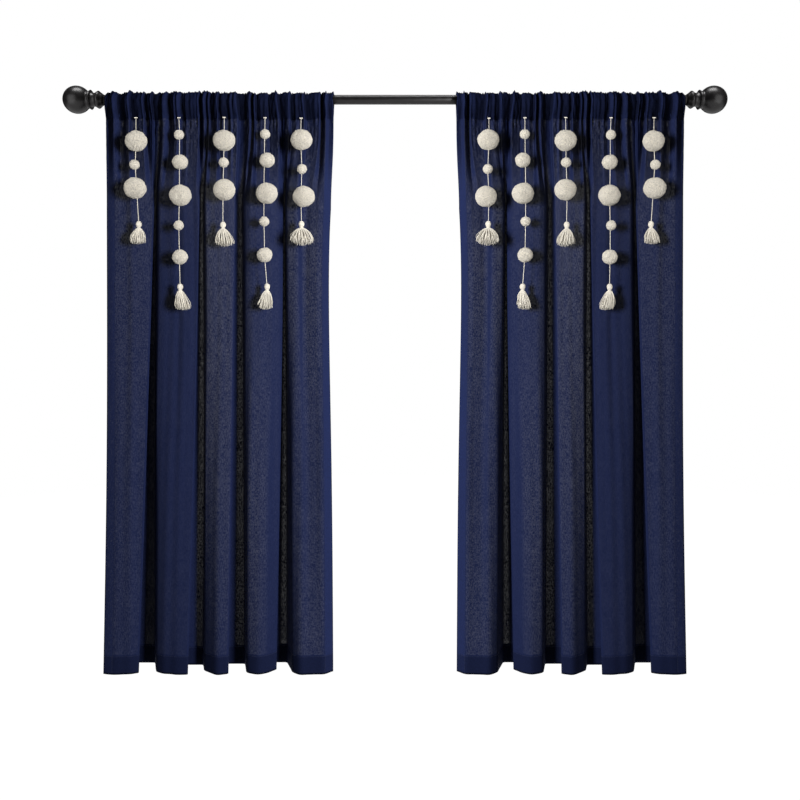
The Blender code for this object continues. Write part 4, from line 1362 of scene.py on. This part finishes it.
# Outline of a tassel's bound head in mm, from its top down to its tied neck
Corner = namedtuple("Corner", "radius height")
HEAD_OUTLINE = [
    Corner(*corner)
    for corner in (
        (1.2, 9.6), (3.8, 9.0), (6.2, 6.8), (7.8, 3.6), (8.2, 0.6), (7.7, -2.6), (6.2, -5.4),
        (4.6, -7.6), (4.4, -9.4), (5.2, -11.4),
    )
]

# The head beside that outline, its rings, the strands laid over it, the faces of each strand, and
# how deep the grooves between them are
HEAD_FIT = 0.93
HEAD_RINGS = 26
HEAD_STRANDS = 22
FACES_PER_STRAND = 4
HEAD_GROOVE = 0.09

# The yarn bound round the neck: radius of its turns, height of the first, pitch, radius of the
# yarn, and its turns, steps per turn and sides
Binding = namedtuple("Binding", "radius top pitch thickness turns steps sides")
BINDING = Binding(0.0041, -0.0070, 0.0011, 0.0006, 3, 24, 6)

# The skirt: how far below the middle of the head it starts, its depth beside its width, how far
# its strands stand out at the neck, and how they spread, hang to the side and are cut on the way
SKIRT_TOP = 0.0085
SKIRT_FLATTENING = 0.62
NECK_REACH = 0.0034
BELL_EASE = 0.78
SWAY_EASE = 1.3
CUT_EASE = 2.4
SKIRT_SEED = 40

# Its strands: radius and its spread, what is lost of it towards the tip, the tip's radius, steps,
# sides, and the spread of how far they reach and fall
STRAND_RADIUS = 0.00092
STRAND_SPREAD = (0.8, 1.2)
STRAND_TAPER = 0.25
STRAND_TIP = 0.0003
STRAND_STEPS = 9
STRAND_SIDES = 5
STRAND_REACH = (0.88, 1.04)
STRAND_FALL = (0.93, 1.03)

# One strand in so many strays, from the given one on: farther out, and shorter
STRAY_STRAND = 13
FIRST_STRAY = 5
STRAY_REACH = (1.02, 1.14)
STRAY_FALL = (0.84, 1.0)

# Strands curl by so much and so often on the way down, and unevenly round the skirt
CURL = (0.0005, 0.0022)
CURL_WAVES = 1.1
CURLS_ROUND = 3

# They hang in locks: how many, how far a strand keeps to its own place beside its lock's middle,
# and how much farther out some locks stand than others
LOCKS = 17
LOCK_SPREAD = 0.6
LOCK_WAVE = Wander(0.08, 5.0, 2.0)


def head_mesh_into(work, place):
    """The tied head: yarn laid over its top and drawn in at the neck, with the binding round it."""
    sides = HEAD_STRANDS * FACES_PER_STRAND
    heights = np.array([corner.height for corner in HEAD_OUTLINE])
    radii = np.array([corner.radius for corner in HEAD_OUTLINE])
    fine = np.linspace(heights[0], heights[-1], HEAD_RINGS)
    path = np.stack([np.zeros_like(fine), np.zeros_like(fine), fine * MM], axis=1) + place
    radius = np.interp(-fine, -heights, radii) * MM * HEAD_FIT
    angle = FULL_TURN * np.arange(sides) / sides
    groove = 1.0 - HEAD_GROOVE * (1 - np.abs(np.cos(HEAD_STRANDS / 2 * angle)))
    rings = radius[:, None] * groove[None, :]
    rings[0] = 0.0
    swept(work, path, round_rings(rings, angle))
    binding_into(work, place)


def binding_into(work, place):
    """Yarn wound round the neck, with its ends drawn to a point."""
    turns = np.linspace(0.0, FULL_TURN * BINDING.turns, BINDING.steps * BINDING.turns)
    last = len(turns) - 1
    fall = BINDING.top - BINDING.pitch * turns / FULL_TURN
    wound = np.stack([BINDING.radius * np.cos(turns), BINDING.radius * np.sin(turns), fall], axis=1)
    made = bmesh.ops.create_grid(work, x_segments=BINDING.sides, y_segments=last, size=0.5)["verts"]
    for vertex in made:
        corner = FULL_TURN * round((vertex.co.x + 0.5) * BINDING.sides) / BINDING.sides
        step = round((vertex.co.y + 0.5) * last)
        outward = np.array([math.cos(turns[step]), math.sin(turns[step]), 0.0])
        thick = 0.0 if step in (0, last) else BINDING.thickness
        spot = wound[step] + outward * thick * math.cos(corner)
        spot[2] += thick * math.sin(corner)
        vertex.co = spot + place


def skirt_into(work, place, side, string, strands, chance):
    """Yarn ends that spring out under the neck in locks, and hang in a ragged rounded foot."""
    reach = string.skirt_reach * MM
    length = string.skirt_length * MM - SKIRT_TOP
    sway = side * string.skirt_sway * MM
    drop = np.linspace(0.0, 1.0, STRAND_STEPS)
    bell = np.sin(FULL_TURN / 4 * drop**BELL_EASE)
    angle = FULL_TURN * np.arange(STRAND_SIDES) / STRAND_SIDES
    for strand in range(strands):
        ring = math.sqrt((strand + 0.5) / strands)
        turn = GOLDEN_TURN * strand
        lock = FULL_TURN / LOCKS * round(turn * LOCKS / FULL_TURN)
        turn = lock + LOCK_SPREAD * (turn - lock)
        farther = 1.0 + LOCK_WAVE.size * math.sin(LOCK_WAVE.rate * lock + LOCK_WAVE.start)
        out = ring * chance.uniform(*STRAND_REACH) * farther
        fall = length * chance.uniform(*STRAND_FALL) * (1.0 - string.skirt_cut * ring**CUT_EASE)
        if strand % STRAY_STRAND == FIRST_STRAY:
            out *= chance.uniform(*STRAY_REACH)
            fall *= chance.uniform(*STRAY_FALL)
        phase, curl = chance.random(), chance.uniform(*CURL)
        wave = curl * np.sin(FULL_TURN * (CURL_WAVES * drop + phase)) * drop
        far = NECK_REACH * ring * (1 - bell) + reach * out * bell + wave
        aside = far * math.cos(turn) + sway * drop**SWAY_EASE + wave * math.sin(CURLS_ROUND * turn)
        ahead = far * math.sin(turn) * SKIRT_FLATTENING
        path = np.stack([aside, ahead, -SKIRT_TOP - fall * drop], axis=1)
        thick = STRAND_RADIUS * chance.uniform(*STRAND_SPREAD) * (1.0 - STRAND_TAPER * drop)
        thick[-1] = STRAND_TIP
        swept(work, path + place, round_rings(thick[:, None], angle))


# Shade inside a skirt: how dark its middle is, and how wide the skirt is taken to be on the way
# down
SKIRT_SHADE = 0.55
SHADE_NECK = 0.004
SHADE_EASE = 0.72


def make_tassel(side, label, number, string, head, yarn, wool):
    """The bound head and combed skirt at the foot of a string."""
    chance = np.random.default_rng(SKIRT_SEED + number)
    work = bmesh.new()
    head_mesh_into(work, head)
    skirt_into(work, head, side, string, yarn.strands, chance)
    name = f"wool_tassel_{label}_{number}"
    bmesh.ops.remove_doubles(work, verts=work.verts, dist=SWEPT_MERGE)
    bmesh.ops.recalc_face_normals(work, faces=work.faces)
    mesh = smooth_mesh(name, work)
    points = np.array([vertex.co for vertex in mesh.vertices]) - head
    out = np.hypot(points[:, 0], points[:, 1] / SKIRT_FLATTENING)
    drop = np.clip((-points[:, 2] - SKIRT_TOP) / (string.skirt_length * MM), 0.0, 1.0)
    edge = SHADE_NECK + string.skirt_reach * MM * drop**SHADE_EASE
    inner = np.clip(1.0 - out / edge, 0.0, 1.0)
    # Painted shade inside the skirt, darkest at its middle
    set_attribute(mesh, "depth", np.where(points[:, 2] < -SKIRT_TOP, SKIRT_SHADE * inner, 0.0))
    finished_piece(name, mesh, wool, [f"string_{label}_{number}"])


class CURTAIN_OT_strings(bpy.types.Operator):
    """Builds the yarn, bar tacks and tassels of every string"""

    bl_idname = "curtain.strings"
    bl_label = "Strings and tassels"

    def execute(self, context):
        yarn = settings().yarn
        wool = finish_named("spun_wool_yarn", wool_finish, yarn, SPUN_BRIGHTNESS)
        thread = finish_named("white_tack_thread", wool_finish, yarn, TACK_BRIGHTNESS)
        for label, side in SIDES.items():
            for number, string in enumerate(STRINGS, 1):
                tack, head = make_yarn(side, label, number, string, yarn, wool)
                make_tack(label, number, tack, thread)
                make_tassel(side, label, number, string, head, yarn, wool)
        return {"FINISHED"}


# Camera: level with the upper part of the curtains, far enough back to see both
CAMERA_PLACE = (0.01375, -2.3, -0.605)
SEEN_WIDTH = 2.2
SENSOR = 36.0
CAMERA_SHIFT = -0.1003
FLOOR_RADIUS = 6.0
FLOOR_EDGES = 96

# Lamps: place, what each one points at, and its width and height. The first four light the left
# curtain and its finial, and again, mirrored, the right one
Lamp = namedtuple("Lamp", "place target size")
KEY_LAMP = Lamp((1.55, -2.22, -0.30), (-0.48, 0.0, -0.60), (0.5, 0.9))
WOOL_LAMP = Lamp((-1.9, -1.9, -0.2), (-0.48, 0.0, -0.60), (1.2, 1.6))
FINIAL_LAMP = Lamp((-0.80, -0.2, 1.28), (-0.88, 0.0, 0.0), (0.9, 0.45))
BESIDE_LAMP = Lamp((-1.9, -1.9, -0.2), (-0.88, 0.0, 0.0), (2.4, 2.4))
TOP_LAMP = Lamp((0.0, 0.0, 1.5), (0.0, 0.0, 0.0), (2.6, 0.35))
BACK_LAMP = Lamp((0.0, 2.8, -0.4), (0.0, 0.0, -0.75), (2.8, 1.6))


def area_lamp(name, lamp, power, pieces, side=1):
    """A soft lamp, which lights only the pieces it is given."""
    data = bpy.data.lights.new(name, "AREA")
    data.shape = "RECTANGLE"
    data.size, data.size_y = lamp.size
    data.energy = power
    thing = bpy.data.objects.new(name, data)
    bpy.context.scene.collection.objects.link(thing)
    mirrored = Vector((side, 1.0, 1.0))
    place = Vector(lamp.place) * mirrored
    thing.location = place
    aim = Vector(lamp.target) * mirrored - place
    thing.rotation_euler = aim.to_track_quat("-Z", "Y").to_euler()
    receivers = bpy.data.collections.new(f"lit_by_{name}")
    for piece in pieces:
        receivers.objects.link(piece)
    thing.light_linking.receiver_collection = receivers


def white_room(fill):
    """A white room: the eye sees it as plain white, and it lights the curtains softly."""
    world = bpy.data.worlds.new("white_room")
    bpy.context.scene.world = world
    world.use_nodes = True
    tree = world.node_tree
    tree.nodes.clear()
    seen = add_node(tree, "LightPath", output="Is Camera Ray")
    strength = add_node(tree, "MapRange", {0: seen, 3: fill, 4: 1.0})
    background = add_node(tree, "Background", {"Color": (1, 1, 1, 1), "Strength": strength})
    add_node(tree, "OutputWorld", {"Surface": background})


def studio_lamps(studio):
    """Each curtain has its own key lamp, on the middle's side and kept off the other curtain.

    The rod takes one of them only, and the finials have softer lamps of their own.
    """
    pieces = [piece for piece in bpy.context.scene.objects if piece.type == "MESH"]
    rod = [piece for piece in pieces if piece.name.startswith("painted")]
    voile = [piece for piece in pieces if piece.name.startswith("voile")]
    for label, side in SIDES.items():
        own = [piece for piece in pieces if label in piece.name]
        finial = [piece for piece in own if piece.name.startswith("turned")]
        wool = [piece for piece in own if piece.name.startswith(("cut_pile", "wool", "bar_tack"))]
        keyed = [piece for piece in own if piece not in finial] + (rod if side > 0 else [])
        area_lamp(f"key_{label}", KEY_LAMP, studio.key_power, keyed, side)
        area_lamp(f"soft_{label}", WOOL_LAMP, studio.wool_power, wool, side)
        area_lamp(f"over_{label}", FINIAL_LAMP, studio.finial_power, finial, side)
        area_lamp(f"beside_{label}", BESIDE_LAMP, studio.beside_power, finial, side)
    area_lamp("above", TOP_LAMP, studio.top_power, rod)
    area_lamp("behind", BACK_LAMP, studio.back_power, voile)


class CURTAIN_OT_studio(bpy.types.Operator):
    """Sets up the floor, the white room, the lamps and the camera"""

    bl_idname = "curtain.studio"
    bl_label = "Studio"

    def execute(self, context):
        studio = settings().studio
        work = bmesh.new()
        bmesh.ops.create_circle(work, cap_ends=True, segments=FLOOR_EDGES, radius=FLOOR_RADIUS)
        bmesh.ops.translate(work, verts=work.verts, vec=(0.0, 0.0, studio.floor_height))
        mesh = mesh_of("studio_floor", work)
        mesh.materials.append(finish_named("seamless_paper", floor_finish))
        floor = bpy.data.objects.new("studio_floor", mesh)
        context.scene.collection.objects.link(floor)
        floor.visible_diffuse = False
        white_room(studio.fill)
        studio_lamps(studio)
        view = context.scene.view_settings
        view.view_transform = "Standard"
        view.look = "None"
        data = bpy.data.cameras.new("camera")
        data.sensor_width = SENSOR
        data.lens = SENSOR * -CAMERA_PLACE[1] / SEEN_WIDTH
        data.shift_y = CAMERA_SHIFT
        camera = bpy.data.objects.new("camera", data)
        context.scene.collection.objects.link(camera)
        camera.location = CAMERA_PLACE
        camera.rotation_euler = (math.pi / 2, 0.0, 0.0)
        context.scene.camera = camera
        return {"FINISHED"}


class CURTAIN_PT_pieces(bpy.types.Panel):
    """Lists the pieces that can be built"""

    bl_idname = "CURTAIN_PT_pieces"
    bl_label = "Pompom curtains"
    bl_space_type = "VIEW_3D"
    bl_region_type = "UI"
    bl_category = "Curtains"

    def draw(self, context):
        for operator in OPERATORS:
            self.layout.operator(operator.bl_idname)
        for group in ("cloth", "yarn", "rod", "studio"):
            box = self.layout.box()
            values = getattr(context.scene.pompom_curtains, group)
            for name in values.__annotations__:
                box.prop(values, name)


OPERATORS = (
    CURTAIN_OT_panels,
    CURTAIN_OT_rod,
    CURTAIN_OT_pompoms,
    CURTAIN_OT_strings,
    CURTAIN_OT_studio,
)
CLASSES = (
    ClothSettings,
    YarnSettings,
    RodSettings,
    StudioSettings,
    CurtainSettings,
    *OPERATORS,
    CURTAIN_PT_pieces,
)


def register():
    for one in CLASSES:
        bpy.utils.register_class(one)
    bpy.types.Scene.pompom_curtains = bpy.props.PointerProperty(type=CurtainSettings)


def unregister():
    del bpy.types.Scene.pompom_curtains
    for one in reversed(CLASSES):
        bpy.utils.unregister_class(one)


def main():
    register()
    bpy.ops.curtain.panels()
    bpy.ops.curtain.rod()
    bpy.ops.curtain.pompoms()
    bpy.ops.curtain.strings()
    bpy.ops.curtain.studio()


if __name__ == "__main__":
    main()
